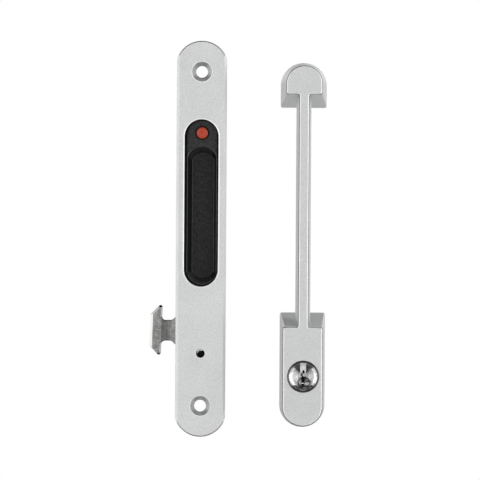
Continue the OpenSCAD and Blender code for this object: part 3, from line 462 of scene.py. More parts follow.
class Workpiece:
    """A mesh that is shaped with the tools of modelling by hand."""

    def __init__(self, obj: bpy.types.Object) -> None:
        """Takes a mesh object onto the bench.

        Args:
            obj: The object.
        """
        self.obj = obj

    @classmethod
    def settle(cls, name: str) -> "Workpiece":
        """Names the new active object and moves its place into its mesh."""
        obj = bpy.context.view_layer.objects.active
        obj.name = name
        obj.data.name = name
        bpy.ops.object.transform_apply(location=True, rotation=True, scale=True)
        return cls(obj)

    @classmethod
    def block(cls, name: str, low: Point, high: Point) -> "Workpiece":
        """Adds a block between two corners.

        Args:
            name: The object's name.
            low: The lowest corner.
            high: The highest corner.

        Returns:
            The block.
        """
        deselect_all()
        middle = (metres(low) + metres(high)) / 2
        bpy.ops.mesh.primitive_cube_add(size=1.0, location=middle, scale=metres(high) - metres(low))
        return cls.settle(name)

    @classmethod
    def turned(cls, name: str, x: float, z: float, profile: Sequence[Pair],
               sides: int = 96) -> "Workpiece":
        """Turns a solid about an axis along Y.

        Args:
            name: The object's name.
            x: The axis's place.
            z: The axis's height.
            profile: Pairs of y and radius, in order along the surface.
            sides: How many sides the round has.

        Returns:
            The solid.
        """
        deselect_all()
        (y, radius), *rest = profile
        bpy.ops.mesh.primitive_circle_add(vertices=sides, radius=radius * MM, fill_type="NGON",
                                          location=metres((x, y, z)),
                                          rotation=(math.pi / 2, math.pi / sides, 0.0))
        piece = cls.settle(name)
        with piece.editing():
            bpy.ops.mesh.select_all(action="SELECT")
            for next_y, next_radius in rest:
                extrude((0.0, next_y - y, 0.0))
                ratio = next_radius / radius
                bpy.ops.transform.resize(value=(ratio, 1.0, ratio),
                                         center_override=metres((x, next_y, z)))
                y, radius = next_y, next_radius
            piece.face_outwards()
        return piece

    @classmethod
    def plate(cls, name: str, outline: Sequence[Pair], front: float,
              back: float) -> "Workpiece":
        """Makes a flat plate from an outline.

        Args:
            name: The object's name.
            outline: Pairs of x and z round the plate.
            front: Where its front face lies.
            back: Where its back face lies.

        Returns:
            The plate.
        """
        deselect_all()
        mesh = bpy.data.meshes.new(name)
        mesh.from_pydata([metres((x, front, z)) for x, z in outline], [], [tuple(range(len(outline)))])
        obj = bpy.data.objects.new(name, mesh)
        bpy.context.collection.objects.link(obj)
        piece = cls(obj)
        with piece.editing():
            bpy.ops.mesh.select_all(action="SELECT")
            extrude((0.0, back - front, 0.0))
            piece.face_outwards()
        return piece

    def hold(self) -> None:
        """Makes this piece the active one and selects it alone."""
        deselect_all()
        self.obj.select_set(True)
        bpy.context.view_layer.objects.active = self.obj

    @contextmanager
    def editing(self) -> Iterator[None]:
        """Opens edit mode on this piece alone."""
        self.hold()
        bpy.ops.object.mode_set(mode="EDIT")
        yield
        bpy.ops.object.mode_set(mode="OBJECT")

    def face_outwards(self) -> None:
        """Turns all faces outwards, in edit mode."""
        bpy.ops.mesh.select_all(action="SELECT")
        bpy.ops.mesh.normals_make_consistent(inside=False)

    def pick(self, kind: Pick, test: Callable[..., bool]) -> int:
        """Selects parts of the mesh, in edit mode.

        Args:
            kind: What is selected.
            test: Says of each vertex, edge or face whether it is wanted.

        Returns:
            How many parts were selected.
        """
        bpy.ops.mesh.select_mode(type=kind.value)
        bpy.ops.mesh.select_all(action="DESELECT")
        mesh = bmesh.from_edit_mesh(self.obj.data)
        parts = {Pick.VERT: mesh.verts, Pick.EDGE: mesh.edges, Pick.FACE: mesh.faces}[kind]
        chosen = [part for part in parts if test(part)]
        for part in chosen:
            part.select_set(True)
        mesh.select_flush_mode()
        bmesh.update_edit_mesh(self.obj.data)
        return len(chosen)

    def stretch(self, by: float, axis: int = 2, middle: float = 0.0,
                where: Optional[Callable[[Vector], bool]] = None) -> "Workpiece":
        """Pulls the two halves apart along an axis.

        Args:
            by: How much longer the piece becomes.
            axis: 0 for X, 2 for Z.
            middle: Where the halves meet.
            where: Which vertices move, given their place in millimetres.

        Returns:
            This piece.
        """
        with self.editing():
            for side in (-1.0, 1.0):
                self.pick(Pick.VERT, lambda v: (v.co[axis] / MM - middle) * side > 0.0
                          and (where is None or where(v.co / MM)))
                step = [0.0, 0.0, 0.0]
                step[axis] = side * by / 2 * MM
                bpy.ops.transform.translate(value=step)
        return self

    def shift(self, step: Point, where: Callable[[Vector], bool]) -> "Workpiece":
        """Moves the vertices that a test picks, given their place in millimetres."""
        with self.editing():
            self.pick(Pick.VERT, lambda v: where(v.co / MM))
            bpy.ops.transform.translate(value=metres(step))
        return self

    def slice(self, point: Point, normal: Point, clear: bool = True) -> "Workpiece":
        """Cuts away what lies on the side that the normal points to, or only scores a line.

        Args:
            point: A point on the cutting plane.
            normal: The plane's normal.
            clear: Whether that side is cut away.

        Returns:
            This piece.
        """
        with self.editing():
            bpy.ops.mesh.select_all(action="SELECT")
            bpy.ops.mesh.bisect(plane_co=metres(point), plane_no=Vector(normal).normalized(),
                                use_fill=clear, clear_outer=clear, threshold=1e-7)
        return self

    def combine(self, tool: "Workpiece", operation: str) -> "Workpiece":
        """Joins or cuts with another piece, which is used up.

        Args:
            tool: The other piece.
            operation: The boolean's name.

        Returns:
            This piece.
        """
        modifier = self.obj.modifiers.new("combine", "BOOLEAN")
        modifier.operation = operation
        modifier.solver = "EXACT"
        modifier.material_mode = "TRANSFER"
        modifier.object = tool.obj
        self.apply(modifier.name)
        bpy.data.objects.remove(tool.obj, do_unlink=True)
        return self

    def cut(self, *tools: "Workpiece") -> "Workpiece":
        """Cuts other pieces out of this one."""
        for tool in tools:
            self.combine(tool, "DIFFERENCE")
        return self

    def fuse(self, *tools: "Workpiece") -> "Workpiece":
        """Joins other pieces to this one."""
        for tool in tools:
            self.combine(tool, "UNION")
        return self

    def apply(self, modifier: str) -> None:
        """Applies a modifier to the mesh."""
        self.hold()
        bpy.ops.object.modifier_apply(modifier=modifier)

    def tidy(self) -> "Workpiece":
        """Merges doubled points."""
        with self.editing():
            bpy.ops.mesh.select_all(action="SELECT")
            bpy.ops.mesh.remove_doubles(threshold=MERGE_MM * MM)
        return self

    def round_where(self, width: float, segments: int, test: Callable[[Edge], bool]) -> "Workpiece":
        """Rounds the edges that a test picks.

        Args:
            width: The width of the rounding.
            segments: How many steps it has.
            test: Says of each edge whether it is rounded.

        Returns:
            This piece.
        """
        with self.editing():
            if self.pick(Pick.EDGE, test):
                bpy.ops.mesh.bevel(offset=width * MM, segments=segments, affect="EDGES",
                                   clamp_overlap=True, miter_outer="ARC")
        return self

    def round_all(self, width: float, angle: float = 30.0) -> "Workpiece":
        """Rounds all edges that are sharper than an angle in degrees."""
        modifier = self.obj.modifiers.new("round", "BEVEL")
        modifier.width = width * MM
        modifier.segments = 2
        modifier.limit_method = "ANGLE"
        modifier.angle_limit = math.radians(angle)
        modifier.use_clamp_overlap = True
        self.apply(modifier.name)
        return self

    def paint(self, *finishes: Finish) -> "Workpiece":
        """Gives the piece its finishes, the main one first."""
        self.obj.data.materials.clear()
        for finish in finishes:
            self.obj.data.materials.append(finish.material())
        return self

    def repaint(self, finish: Finish, test: Callable[[Face], bool]) -> "Workpiece":
        """Gives the faces that a test picks another of the piece's finishes."""
        index = self.obj.data.materials.find(finish.value.name)
        with self.editing():
            self.pick(Pick.FACE, test)
            mesh = bmesh.from_edit_mesh(self.obj.data)
            for face in mesh.faces:
                if face.select:
                    face.material_index = index
            bmesh.update_edit_mesh(self.obj.data)
        return self

    def fit(self, body: Body, slot: str, *nodes: str, angle: float = 32.0) -> "Workpiece":
        """Smooths the piece and puts it in its place in the part.

        Args:
            body: The body that it moves with.
            slot: The record's material slot, which is not used.
            nodes: The solids that it stands for.
            angle: The angle in degrees over which an edge stays sharp.

        Returns:
            This piece.
        """
        self.hold()
        bpy.ops.object.shade_smooth_by_angle(angle=math.radians(angle))
        modifier = self.obj.modifiers.new("weights", "WEIGHTED_NORMAL")
        modifier.keep_sharp = True
        modifier.weight = 60
        self.apply(modifier.name)
        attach(self.obj, body.value)
        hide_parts(*nodes)
        LOG.info("%s: %d faces, for %s", self.obj.name, len(self.obj.data.polygons), ", ".join(nodes))
        return self


def edge_middle(edge: Edge) -> Vector:
    """Gives an edge's middle in millimetres."""
    return (edge.verts[0].co + edge.verts[1].co) / 2 / MM


def face_middle(face: Face) -> Vector:
    """Gives a face's middle in millimetres."""
    return face.calc_center_median() / MM


def placed(steps: Sequence[Pair], y: float, radius: float = 0.0) -> list[Pair]:
    """Turns pairs of depth and growth into a profile, from where its face and its radius lie."""
    return [(y + deep, radius + out) for deep, out in steps]


def rounded(y: float, radius: float, edge: float, *steps: Pair) -> list[Pair]:
    """Gives the profile of a rounded edge between a round front face and its wall.

    Args:
        y: Where the front face lies.
        radius: The wall's radius.
        edge: The rounding's size.
        steps: Shares of the size, from the front and from the wall, for the steps between.

    Returns:
        Pairs of y and radius.
    """
    return placed([(deep * edge, -short * edge) for deep, short in ((0.0, 1.0), *steps, (1.0, 0.0))],
                  y, radius)


def arc(x: float, z: float, radius: float, start: float, stop: float, steps: int) -> list[Pair]:
    """Gives points along an arc in X and Z.

    Args:
        x: The centre's x.
        z: The centre's z.
        radius: The arc's radius.
        start: The first angle in degrees, from X towards Z.
        stop: The last angle in degrees.
        steps: How many lines it has.

    Returns:
        The points, first and last included.
    """
    angles = (math.radians(start + (stop - start) * step / steps) for step in range(steps + 1))
    return [(x + radius * math.cos(angle), z + radius * math.sin(angle)) for angle in angles]


def near(value: float, target: float, within: float = 0.02) -> bool:
    """Says whether a value lies at a target."""
    return abs(value - target) < within


# The inside unit


@dataclass(frozen=True)
class FacePlate:
    """The slim anodised plate, with its opening, its countersunk holes and its ribs."""

    length: float = 189.6
    width: float = 24.0
    thickness: float = 2.5
    end_radius: float = 12.5
    end_edge: float = 0.5
    bevel_width: float = 1.2
    bevel_depth: float = 0.7
    bevel_round: float = 0.25
    hole_spacing: float = 160.0
    hole_radius: float = 2.8
    sink_radius: float = 4.85
    sink_edge: float = 0.3
    opening_radius: float = 8.2
    opening_length: float = 80.0
    opening_z: float = 17.15
    broken_edge: float = 0.5
    peep_radius: float = 2.1
    peep_flare: tuple[Pair, ...] = ((-0.3, 0.62), (0.32, 0.0))
    peep_z: float = CLAMP_Z
    rib_in: float = 9.2
    rib_out: float = 10.6
    rib_depth: float = 7.6
    rib_half_length: float = 74.5
    rib_round: float = 0.2
    window_bottom: float = -52.65
    window_top: float = -25.35
    window_front: float = 5.6

    def strip(self) -> Workpiece:
        """Shapes the plate's outline and its bevelled long edges."""
        front = -self.thickness
        half, radius = self.width / 2, self.end_radius
        plate = Workpiece.turned("face_plate_body", 0.0, 0.0,
                                 [*rounded(front, radius, self.end_edge, (0.05, 0.69), (0.3, 0.29)),
                                  (0.0, radius)], 192)
        plate.stretch(self.length - 2 * radius)
        plate.paint(Finish.ANODISED, Finish.BEVEL, Finish.ARRIS)
        # The rounded front edges take the darker copy, painted shade.
        plate.repaint(Finish.ARRIS, lambda f: -0.99 < f.normal.y < -0.05)
        for side in (-1.0, 1.0):
            plate.slice((side * half, 0.0, 0.0), (side, 0.0, 0.0))
            plate.slice((side * half, front + self.bevel_depth, 0.0),
                        (side * self.bevel_depth, -self.bevel_width, 0.0))
        # The side bevels take the darker copy, painted shade.
        plate.repaint(Finish.BEVEL, lambda f: abs(f.normal.z) < 0.01 and -0.95 < f.normal.y < -0.5)
        inside, end = half - self.bevel_width - 0.1, self.length / 2 - radius
        return plate.round_where(self.bevel_round, 3, lambda e: abs(edge_middle(e).x) > inside
                                 and abs(edge_middle(e).z) < end and edge_middle(e).y < -0.1)

    def opening(self) -> Workpiece:
        """Shapes the tool that cuts the opening and breaks its edge."""
        flare = 2 * self.broken_edge
        front = -self.thickness
        tool = Workpiece.turned("opening", 0.0, self.opening_z,
                                [(front - 0.15, self.opening_radius + flare),
                                 (front + 0.15, self.opening_radius),
                                 (1.0, self.opening_radius)], 128)
        tool.stretch(self.opening_length - 2 * self.opening_radius, 2, self.opening_z)
        tool.paint(Finish.ANODISED, Finish.BRIGHT)
        return tool.repaint(Finish.BRIGHT, lambda f: 0.1 < abs(f.normal.y) < 0.99)

    def countersink(self, z: float) -> Workpiece:
        """Shapes the tool for one countersunk hole."""
        front, edge = -self.thickness, self.sink_edge
        floor = front + self.sink_radius - self.hole_radius
        tool = Workpiece.turned("countersink", 0.0, z,
                                [(front - edge / 3, self.sink_radius + 2 * edge),
                                 (front + edge / 3, self.sink_radius - edge / 3),
                                 (floor, self.hole_radius), (1.0, self.hole_radius)], 96)
        # The cone takes the darker copy as painted shade, the band at its rim the painted highlight.
        tool.paint(Finish.SINK, Finish.BARE)
        return tool.repaint(Finish.BARE,
                            lambda f: abs(f.normal.y) > 0.85 and face_middle(f).y < front + edge)

    def ribs(self) -> list[Workpiece]:
        """Shapes the two ribs on the back, with the window for the hook."""
        result = []
        for side in (-1.0, 1.0):
            x0, x1 = sorted((side * self.rib_in, side * self.rib_out))
            rib = Workpiece.block("rib", (x0, -0.2, -self.rib_half_length),
                                  (x1, self.rib_depth, self.rib_half_length))
            rib.paint(Finish.ANODISED)
            if side < 0:
                rib.cut(Workpiece.block("window", (x0 - 1.0, self.window_front, self.window_bottom),
                                        (x1 + 1.0, self.rib_depth + 1.0, self.window_top)))
            result.append(rib.round_all(self.rib_round))
        return result

    def build(self) -> Workpiece:
        """Builds the plate."""
        plate = self.strip()
        flare = placed(self.peep_flare, -self.thickness, self.peep_radius)
        peep = Workpiece.turned("peep", 0.0, self.peep_z, [*flare, (1.0, self.peep_radius)], 64)
        # The peep hole's wall is painted white as a highlight.
        peep.paint(Finish.BARE)
        plate.cut(self.opening(), peep, self.countersink(self.hole_spacing / 2),
                  self.countersink(-self.hole_spacing / 2))
        plate.fuse(*self.ribs())
        return plate.fit(Body.ROOT, "anodised_aluminium", "face_plate", angle=25.0)


@dataclass(frozen=True)
class FingerPull:
    """The black slider, with its raised face and finger pocket."""

    half_width: float = 9.0
    front: float = 0.3
    back: float = 3.2
    bottom: float = -33.85
    top: float = 58.15
    centre_x: float = DOT[0]
    face_z: float = 17.3
    face_radius: float = 7.15
    face_length: float = 78.8
    groove_radius: float = 8.4
    groove_length: float = 80.4
    groove_floor: float = 1.8
    rim_half: float = 6.9
    rim_radius: float = 7.4
    rim_half_length: float = 32.975
    floor_half: float = 5.35
    floor_radius: float = 5.85
    floor_half_length: float = 30.1
    floor_shift: float = 0.5
    floor: float = 8.8
    floor_fillet: float = 0.75
    pocket_z: float = 11.325
    wall: float = 0.7
    rim_edge: float = 0.3
    face_edge: float = 0.16
    end: float = 10.1
    head_x: Pair = (-5.5, 7.4)
    head_z: Pair = (45.3, 56.95)
    foot_x: Pair = (-4.0, 4.0)
    foot_z: Pair = (-31.55, -25.55)
    dot_z: float = DOT[1]
    well_radius: float = 3.3
    well_flare: tuple[Pair, ...] = ((-1.3, 0.14), (0.0, 0.14), (0.04, 0.05), (0.14, 0.0))
    well_floor: float = 1.3

    def taper(self, name: str, front: float, back: float, grow: float, sides: int) -> Workpiece:
        """Shapes the leaning body that the pocket, and the shell round it, have.

        Args:
            name: The object's name.
            front: Where the body starts.
            back: Where the body ends.
            grow: How much larger it is than the pocket.
            sides: How many sides its round ends have.

        Returns:
            The body.
        """
        depth = self.floor - self.front

        def at(y: float, rim: float, floor: float) -> float:
            """Gives a size at a depth, from its values at the rim and at the floor."""
            return rim + (floor - rim) * min(1.0, (y - self.front) / depth)

        radii = [at(y, self.rim_radius, self.floor_radius) + grow for y in (front, back)]
        halves = [at(y, self.rim_half, self.floor_half) + grow for y in (front, back)]
        lengths = [at(y, self.rim_half_length, self.floor_half_length) + grow for y in (front, back)]
        shifts = [at(y, 0.0, self.floor_shift) for y in (front, back)]
        body = Workpiece.turned(name, self.centre_x, self.pocket_z,
                                [(front, radii[0]), (back, radii[1])], sides)
        for y, radius, length in zip((front, back), radii, lengths):
            body.stretch(2 * (length - radius), 2, self.pocket_z, lambda p, y=y: near(p.y, y))
        for y, step in zip((front, back), shifts):
            body.shift((step, 0.0, 0.0), lambda p, y=y: near(p.y, y))
        for side in (-1.0, 1.0):
            start = self.centre_x + shifts[0] + side * halves[0]
            stop = self.centre_x + shifts[1] + side * halves[1]
            body.slice((start, front, 0.0), (side * (back - front), side * (start - stop), 0.0))
        return body

    def pocket(self) -> Workpiece:
        """Shapes the tool that cuts the pocket, with a rounded rim and a fillet round its floor; its
        walls take painted shade, its rim and fillet a painted highlight.
        """
        edge = self.rim_edge
        tool = self.taper("pocket", self.front + edge, self.floor, 0.0, 96)
        tool.paint(Finish.BLACK_WALL, Finish.BLACK, Finish.BLACK_EDGE)
        tool.repaint(Finish.BLACK, lambda f: f.normal.y > 0.9)
        tool.round_where(self.floor_fillet, 4,
                         lambda e: all(near(v.co.y / MM, self.floor) for v in e.verts))
        # The floor's fillet takes the painted highlight.
        tool.repaint(Finish.BLACK_EDGE, lambda f: 0.25 < f.normal.y < 0.99)
        with tool.editing():
            tool.pick(Pick.FACE, lambda f: f.normal.y < -0.9)
            for depth, grow in ((0.6 * edge, 0.13 * edge), (0.3 * edge, 0.37 * edge),
                                (0.1 * edge, 0.5 * edge), (1.0, 0.0)):
                extrude((0.0, -depth, 0.0))
                ratios = (1.0 + grow / self.rim_half, 1.0, 1.0 + grow / self.rim_half_length)
                bpy.ops.transform.resize(value=ratios,
                                         center_override=metres((self.centre_x, 0.0, self.pocket_z)))
        # The rounded rim takes the painted highlight.
        return tool.repaint(Finish.BLACK_EDGE, lambda f: face_middle(f).y < self.front + edge)

    def groove(self) -> Workpiece:
        """Shapes the ring that cuts the groove round the raised face, with the face's rounded edge; the
        groove's walls take painted shade and the rounded edge a painted highlight.
        """
        edge, radius = self.face_edge, self.face_radius
        ring = Workpiece.turned("groove", 0.0, self.face_z, [(self.front - 1.0, self.groove_radius),
                                                             (self.groove_floor, self.groove_radius)])
        ring.stretch(self.groove_length - 2 * self.groove_radius, 2, self.face_z)
        core = Workpiece.turned("core", self.centre_x, self.face_z,
                                [(self.front - 2.0, radius - edge),
                                 *rounded(self.front, radius, edge, (0.1, 0.55), (0.4, 0.15)),
                                 (self.groove_floor + 1.0, radius)])
        core.stretch(self.face_length - 2 * radius, 2, self.face_z)
        for piece in (ring, core):
            piece.paint(Finish.BLACK_WALL, Finish.BLACK_EDGE)
        core.repaint(Finish.BLACK_EDGE, lambda f: 0.05 < abs(f.normal.y) < 0.95)
        return ring.cut(core)

    def build(self) -> Workpiece:
        """Builds the slider."""
        pull = Workpiece.block("finger_pull", (-self.half_width, self.front, self.bottom),
                               (self.half_width, self.back, self.top))
        pull.paint(Finish.BLACK, Finish.BLACK_WALL, Finish.BLACK_EDGE)
        start = self.back - 0.1
        parts = [self.taper("shell", start, self.end, self.wall, 96)]
        for name, x, z in (("head", self.head_x, self.head_z), ("foot", self.foot_x, self.foot_z)):
            parts.append(Workpiece.block(name, (x[0], start, z[0]), (x[1], self.end, z[1])))
        pull.fuse(*parts)
        flare = placed(self.well_flare, self.front, self.well_radius)
        well = Workpiece.turned("well", self.centre_x, self.dot_z,
                                [*flare, (self.well_floor, self.well_radius)], 64)
        # The well's wall takes painted shade.
        well.paint(Finish.BLACK_WALL)
        pull.cut(self.groove(), self.pocket(), well)
        return pull.fit(Body.SLIDE, "black_moulding", "slide_pull", angle=35.0)


@dataclass(frozen=True)
class IndicatorDot:
    """The red dot, with a raised ring near its edge and a small pip in its middle."""

    x: float = DOT[0]
    z: float = DOT[1]
    radius: float = 2.75
    face: float = 0.8
    back: float = 3.8
    ring: tuple[Pair, ...] = ((0.3, 0.0), (0.1, -0.06), (0.0, -0.22), (0.0, -0.42), (0.05, -0.55),
                              (0.13, -0.66), (0.15, -0.85))
    pip: tuple[Pair, ...] = ((0.13, 0.95), (0.09, 0.7), (0.02, 0.45), (-0.02, 0.22), (-0.03, 0.06))

    def build(self) -> Workpiece:
        """Builds the dot, whose ring is given by depths and growths and whose pip by depths and radii."""
        profile = [(self.back, self.radius), *placed(self.ring, self.face, self.radius),
                   *placed(self.pip, self.face)]
        dot = Workpiece.turned("red_dot", self.x, self.z, profile, 72)
        dot.paint(Finish.RED)
        return dot.fit(Body.SLIDE, "red_indicator", "indicator_dot", angle=50.0)


@dataclass(frozen=True)
class ClampScrew:
    """The black socket screw behind the peep hole, with a painted glint on one side of its head."""

    z: float = CLAMP_Z
    front: float = 2.8
    seat: float = 6.1
    back: float = 14.1
    head_radius: float = 3.5
    crown: tuple[Pair, ...] = ((0.0, 1.78), (0.12, 1.9), (0.45, 2.75), (0.95, 3.4), (1.5, 3.5))
    shank_radius: float = 2.0
    tip: float = 0.4
    socket_radius: float = 1.42
    socket_back: float = 4.8
    glint_from: float = 58.0
    glint_to: float = 172.0

    def build(self) -> Workpiece:
        """Builds the screw, whose crown is given by depths and radii."""
        y = self.front
        profile = [*placed(self.crown, y), (self.seat, self.head_radius),
                   (self.seat, self.shank_radius), (self.back - self.tip, self.shank_radius),
                   (self.back, self.shank_radius - self.tip)]
        screw = Workpiece.turned("clamp_screw_body", 0.0, self.z, profile, 72)
        screw.paint(Finish.BLACKED, Finish.RUBBED)
        socket = Workpiece.turned("socket", 0.0, self.z, [(y - 1.0, self.socket_radius),
                                                         (self.socket_back, self.socket_radius)], 6)
        socket.paint(Finish.BLACKED)
        screw.cut(socket)
        # Scores the sector's sides; the faces between take the painted glint.
        for angle in (self.glint_from, self.glint_to):
            turn = math.radians(angle)
            screw.slice((0.0, 0.0, self.z), (-math.sin(turn), 0.0, math.cos(turn)), clear=False)

        def in_glint(face: Face) -> bool:
            """Says whether a face lies in the painted glint on the head's flat."""
            middle = face_middle(face)
            angle = math.degrees(math.atan2(middle.z - self.z, middle.x)) % 360.0
            return face.normal.y < -0.95 and near(middle.y, y) and self.glint_from < angle < self.glint_to

        screw.repaint(Finish.RUBBED, in_glint)
        return screw.fit(Body.SLIDE, "black_screw", "clamp_screw", angle=35.0)


@dataclass(frozen=True)
class DoubleHook:
    """The T-shaped hook, with bevelled ears above and below its neck."""

    nose_x: float = -24.35
    nose_lean: float = 0.25
    rear_top: float = -18.5
    rear_low: float = -19.2
    z: float = -44.0
    half_height: float = 11.95
    front: float = 5.1
    back: float = 11.1
    plate_front: float = 6.1
    plate_back: float = 10.1
    ear: float = 0.9
    chamfer: float = 4.5
    nose_bevel: float = 1.2
    bevel_slope: float = 1.3
    low_bevel: float = 0.3
    high_bevel: float = 0.6
    soft_turn: float = 22.0
    nose_turn: float = 8.0
    nose_share: float = 0.95
    line_width: float = 0.26
    line_slope: float = 0.3
    rear_bevel: float = 0.65
    tip_x: float = -19.6
    tip_height: float = 1.1
    neck_half: float = 4.75
    neck_drop: float = 0.4
    neck_inset: float = 0.28
    neck_edge: float = 0.15
    flare_start: float = -13.7
    flare: float = 3.4
    flare_bend: float = 2.2
    low_flare_shift: float = 0.3
    cover: float = -11.7
    fillet: float = 1.6
    low_fillet_ratio: float = 1.4
    base_right: float = 7.2
    base_bottom: float = -59.7
    clamp_z: float = CLAMP_Z
    slot_radius: float = 2.15
    slot_length: float = 7.3
    edge_round: float = 0.12

    def bevel_corner(self, head: Workpiece, face: float, out: float, side: float) -> None:
        """Bevels one corner of the nose on one face, and cuts the line along its chamfer that takes
        painted shade.

        Args:
            head: The head.
            face: Where the face lies.
            out: Which way the face looks along Y.
            side: 1 for the upper corner, -1 for the lower.
        """
        width = self.high_bevel if side > 0.0 else self.low_bevel
        rear = self.rear_top if side > 0.0 else self.rear_low
        nose = self.nose_x + side * self.nose_lean
        corner = (nose, face, self.z + side * (self.half_height - self.chamfer))
        ear_run, ear_rise = self.ear * (1.0 + math.sqrt(0.5)), self.ear * (1.0 - math.sqrt(0.5))
        chamfer_turn = math.degrees(math.atan2(rear - ear_run - nose, self.chamfer - ear_rise))

        def cut_in(turn: float, inset: float, depth: float, slope: float) -> None:
            """Cuts along the corner at a turn from the nose, at an inset and a depth in the face."""
            across, along = math.cos(math.radians(turn)), math.sin(math.radians(turn)) * side
            head.slice((corner[0] + across * inset, face - out * depth, corner[2] - along * inset),
                       (-across, slope * out, along))

        for turn, share in ((chamfer_turn, width), (self.soft_turn, 0.75 * width + 0.25),
                            (self.nose_turn, self.nose_share)):
            cut_in(turn, share * self.nose_bevel, 0.0, self.bevel_slope)
        drop = (width * self.nose_bevel - self.line_width) / self.bevel_slope
        cut_in(chamfer_turn, self.line_width, drop, self.line_slope)

    def head(self) -> Workpiece:
        """Shapes the head, with rounded ears and a bevel along its nose and its corners."""
        ear, reach = self.ear, self.chamfer
        low, high = self.z - self.half_height, self.z + self.half_height
        outline = [(self.nose_x - self.nose_lean, low + reach),
                   (self.nose_x + self.nose_lean, high - reach),
                   *arc(self.rear_top - ear, high - ear, ear, 135.0, 0.0, 8),
                   *arc(self.rear_low - ear, low + ear, ear, 0.0, -135.0, 8)]
        head = Workpiece.plate("double_hook_body", outline, self.front, self.back)
        head.paint(Finish.TUMBLED, Finish.TUMBLED_EDGE, Finish.TUMBLED_TIP, Finish.BARE,
                   Finish.TUMBLED_CHEEK)
        tilt = self.nose_lean / (self.half_height - reach)
        for face, out in ((self.front, -1.0), (self.back, 1.0)):
            for side in (-1.0, 1.0):
                self.bevel_corner(head, face, out, side)
            head.slice((self.nose_x + self.nose_bevel, face, self.z),
                       (-1.0, self.bevel_slope * out, tilt))
        # The nose's bevel takes the painted highlight.
        head.repaint(Finish.TUMBLED_EDGE, lambda f: f.normal.x < -0.2 and f.normal.y < -0.2)
        # The chamfers at the nose's corners take the painted highlight.
        head.repaint(Finish.BARE,
                     lambda f: f.normal.x < -0.2 and f.normal.y < -0.5 and abs(f.normal.z) > 0.25)
        # The line along each chamfer takes painted shade.
        head.repaint(Finish.TUMBLED_TIP,
                     lambda f: f.normal.x < -0.2 and -0.5 < f.normal.y < -0.1 and abs(f.normal.z) > 0.25)
        self.bevel_rear(head)
        return head

    def bevel_rear(self, head: Workpiece) -> None:
        """Bevels the head's rear edge and its tips, with the cheek beside the neck apart; the cheek takes
        painted light, the ear strips a painted highlight and the tips painted shade.
        """
        lean = (self.rear_top - self.rear_low) / (2 * self.half_height)
        cheek = self.neck_half + self.fillet
        head.slice(((self.rear_top + self.rear_low) / 2 - self.rear_bevel, self.front, self.z),
                   (1.0, -1.0, -lean))
        for side in (-1.0, 1.0):
            head.slice((0.0, 0.0, self.z + side * cheek), (0.0, 0.0, 1.0), clear=False)
        # The cheek takes the copy with painted light.
        head.repaint(Finish.TUMBLED_CHEEK, lambda f: f.normal.x > 0.5 and f.normal.y < -0.5)
        # The ear strips beyond the cheek take the painted highlight.
        head.repaint(Finish.BARE, lambda f: f.normal.x > 0.5 and f.normal.y < -0.5
                     and abs(face_middle(f).z - self.z) > cheek)
        for side in (-1.0, 1.0):
            tip = (self.tip_x, self.front, self.z + side * (self.half_height - self.tip_height))
            head.slice(tip, (0.2, -0.8, side))
        # The sliced ear tips take painted shade.
        head.repaint(Finish.TUMBLED_TIP,
                     lambda f: abs(f.normal.z) > 0.6 and -0.8 < f.normal.y < -0.4 and f.normal.x > 0.0)

    def neck_plate(self, name: str, inset: float, front: float) -> Workpiece:
        """Shapes the neck, its flare and the plate that is clamped in the case.

        Args:
            name: The object's name.
            inset: How much smaller the neck is.
            front: Where the front face lies.

        Returns:
            The plate.
        """
        neck = self.neck_half - inset
        low, high = self.z - neck - self.neck_drop, self.z + neck
        start, end = self.flare_start, self.flare_start + self.flare
        low_start = start - self.low_flare_shift
        fillet, low_fillet = self.fillet + inset, self.low_fillet_ratio * self.fillet + inset
        bend = self.flare_bend + inset
        run = bend * math.tan(math.radians(22.5))
        wide = neck + self.flare
        top_rear, low_rear = self.rear_top - 0.1 - inset, self.rear_low - inset
        rear = low_rear - 0.6
        outline = [(rear, high + fillet),
                   *arc(top_rear + fillet, high + fillet, fillet, 180.0, 270.0, 8),
                   *arc(start - run, high + bend, bend, 270.0, 315.0, 5),
                   (end, self.z + wide), (self.base_right, self.z + wide),
                   (self.base_right, self.base_bottom), (end, self.base_bottom),
                   (end, self.z - wide), (self.cover, self.z - wide + end - self.cover),
                   (self.cover, low - self.cover + low_start),
                   *arc(low_start - run, low - bend, bend, 45.0, 90.0, 5),
                   *arc(low_rear + low_fillet, low - low_fillet, low_fillet, 90.0, 180.0, 8),
                   (rear, low - low_fillet)]
        return Workpiece.plate(name, outline, front, self.plate_back)

    def shank(self) -> Workpiece:
        """Shapes the neck and the plate in the case, with a ledge along its edges that takes painted
        shade.
        """
        # The neck takes the finish with painted shade.
        shank = self.neck_plate("shank", self.neck_inset, self.plate_front).paint(Finish.TUMBLED_NECK)
        # The wider plate behind makes a ledge that takes painted shade.
        edge = self.neck_plate("edge", 0.0, self.plate_front + self.neck_edge).paint(Finish.TUMBLED_TIP)
        slot = Workpiece.turned("slot", 0.0, self.clamp_z,
                                [(self.plate_front - 1.0, self.slot_radius),
                                 (self.plate_back + 1.0, self.slot_radius)], 48)
        slot.stretch(self.slot_length - 2 * self.slot_radius, 0, 0.0)
        slot.paint(Finish.TUMBLED_NECK)
        return shank.fuse(edge).cut(slot)

    def build(self) -> Workpiece:
        """Builds the hook."""
        hook = self.head().fuse(self.shank()).tidy().round_all(self.edge_round, 28.0)
        return hook.fit(Body.SLIDE, "tumbled_steel", "double_hook", angle=38.0)


# The pull handle


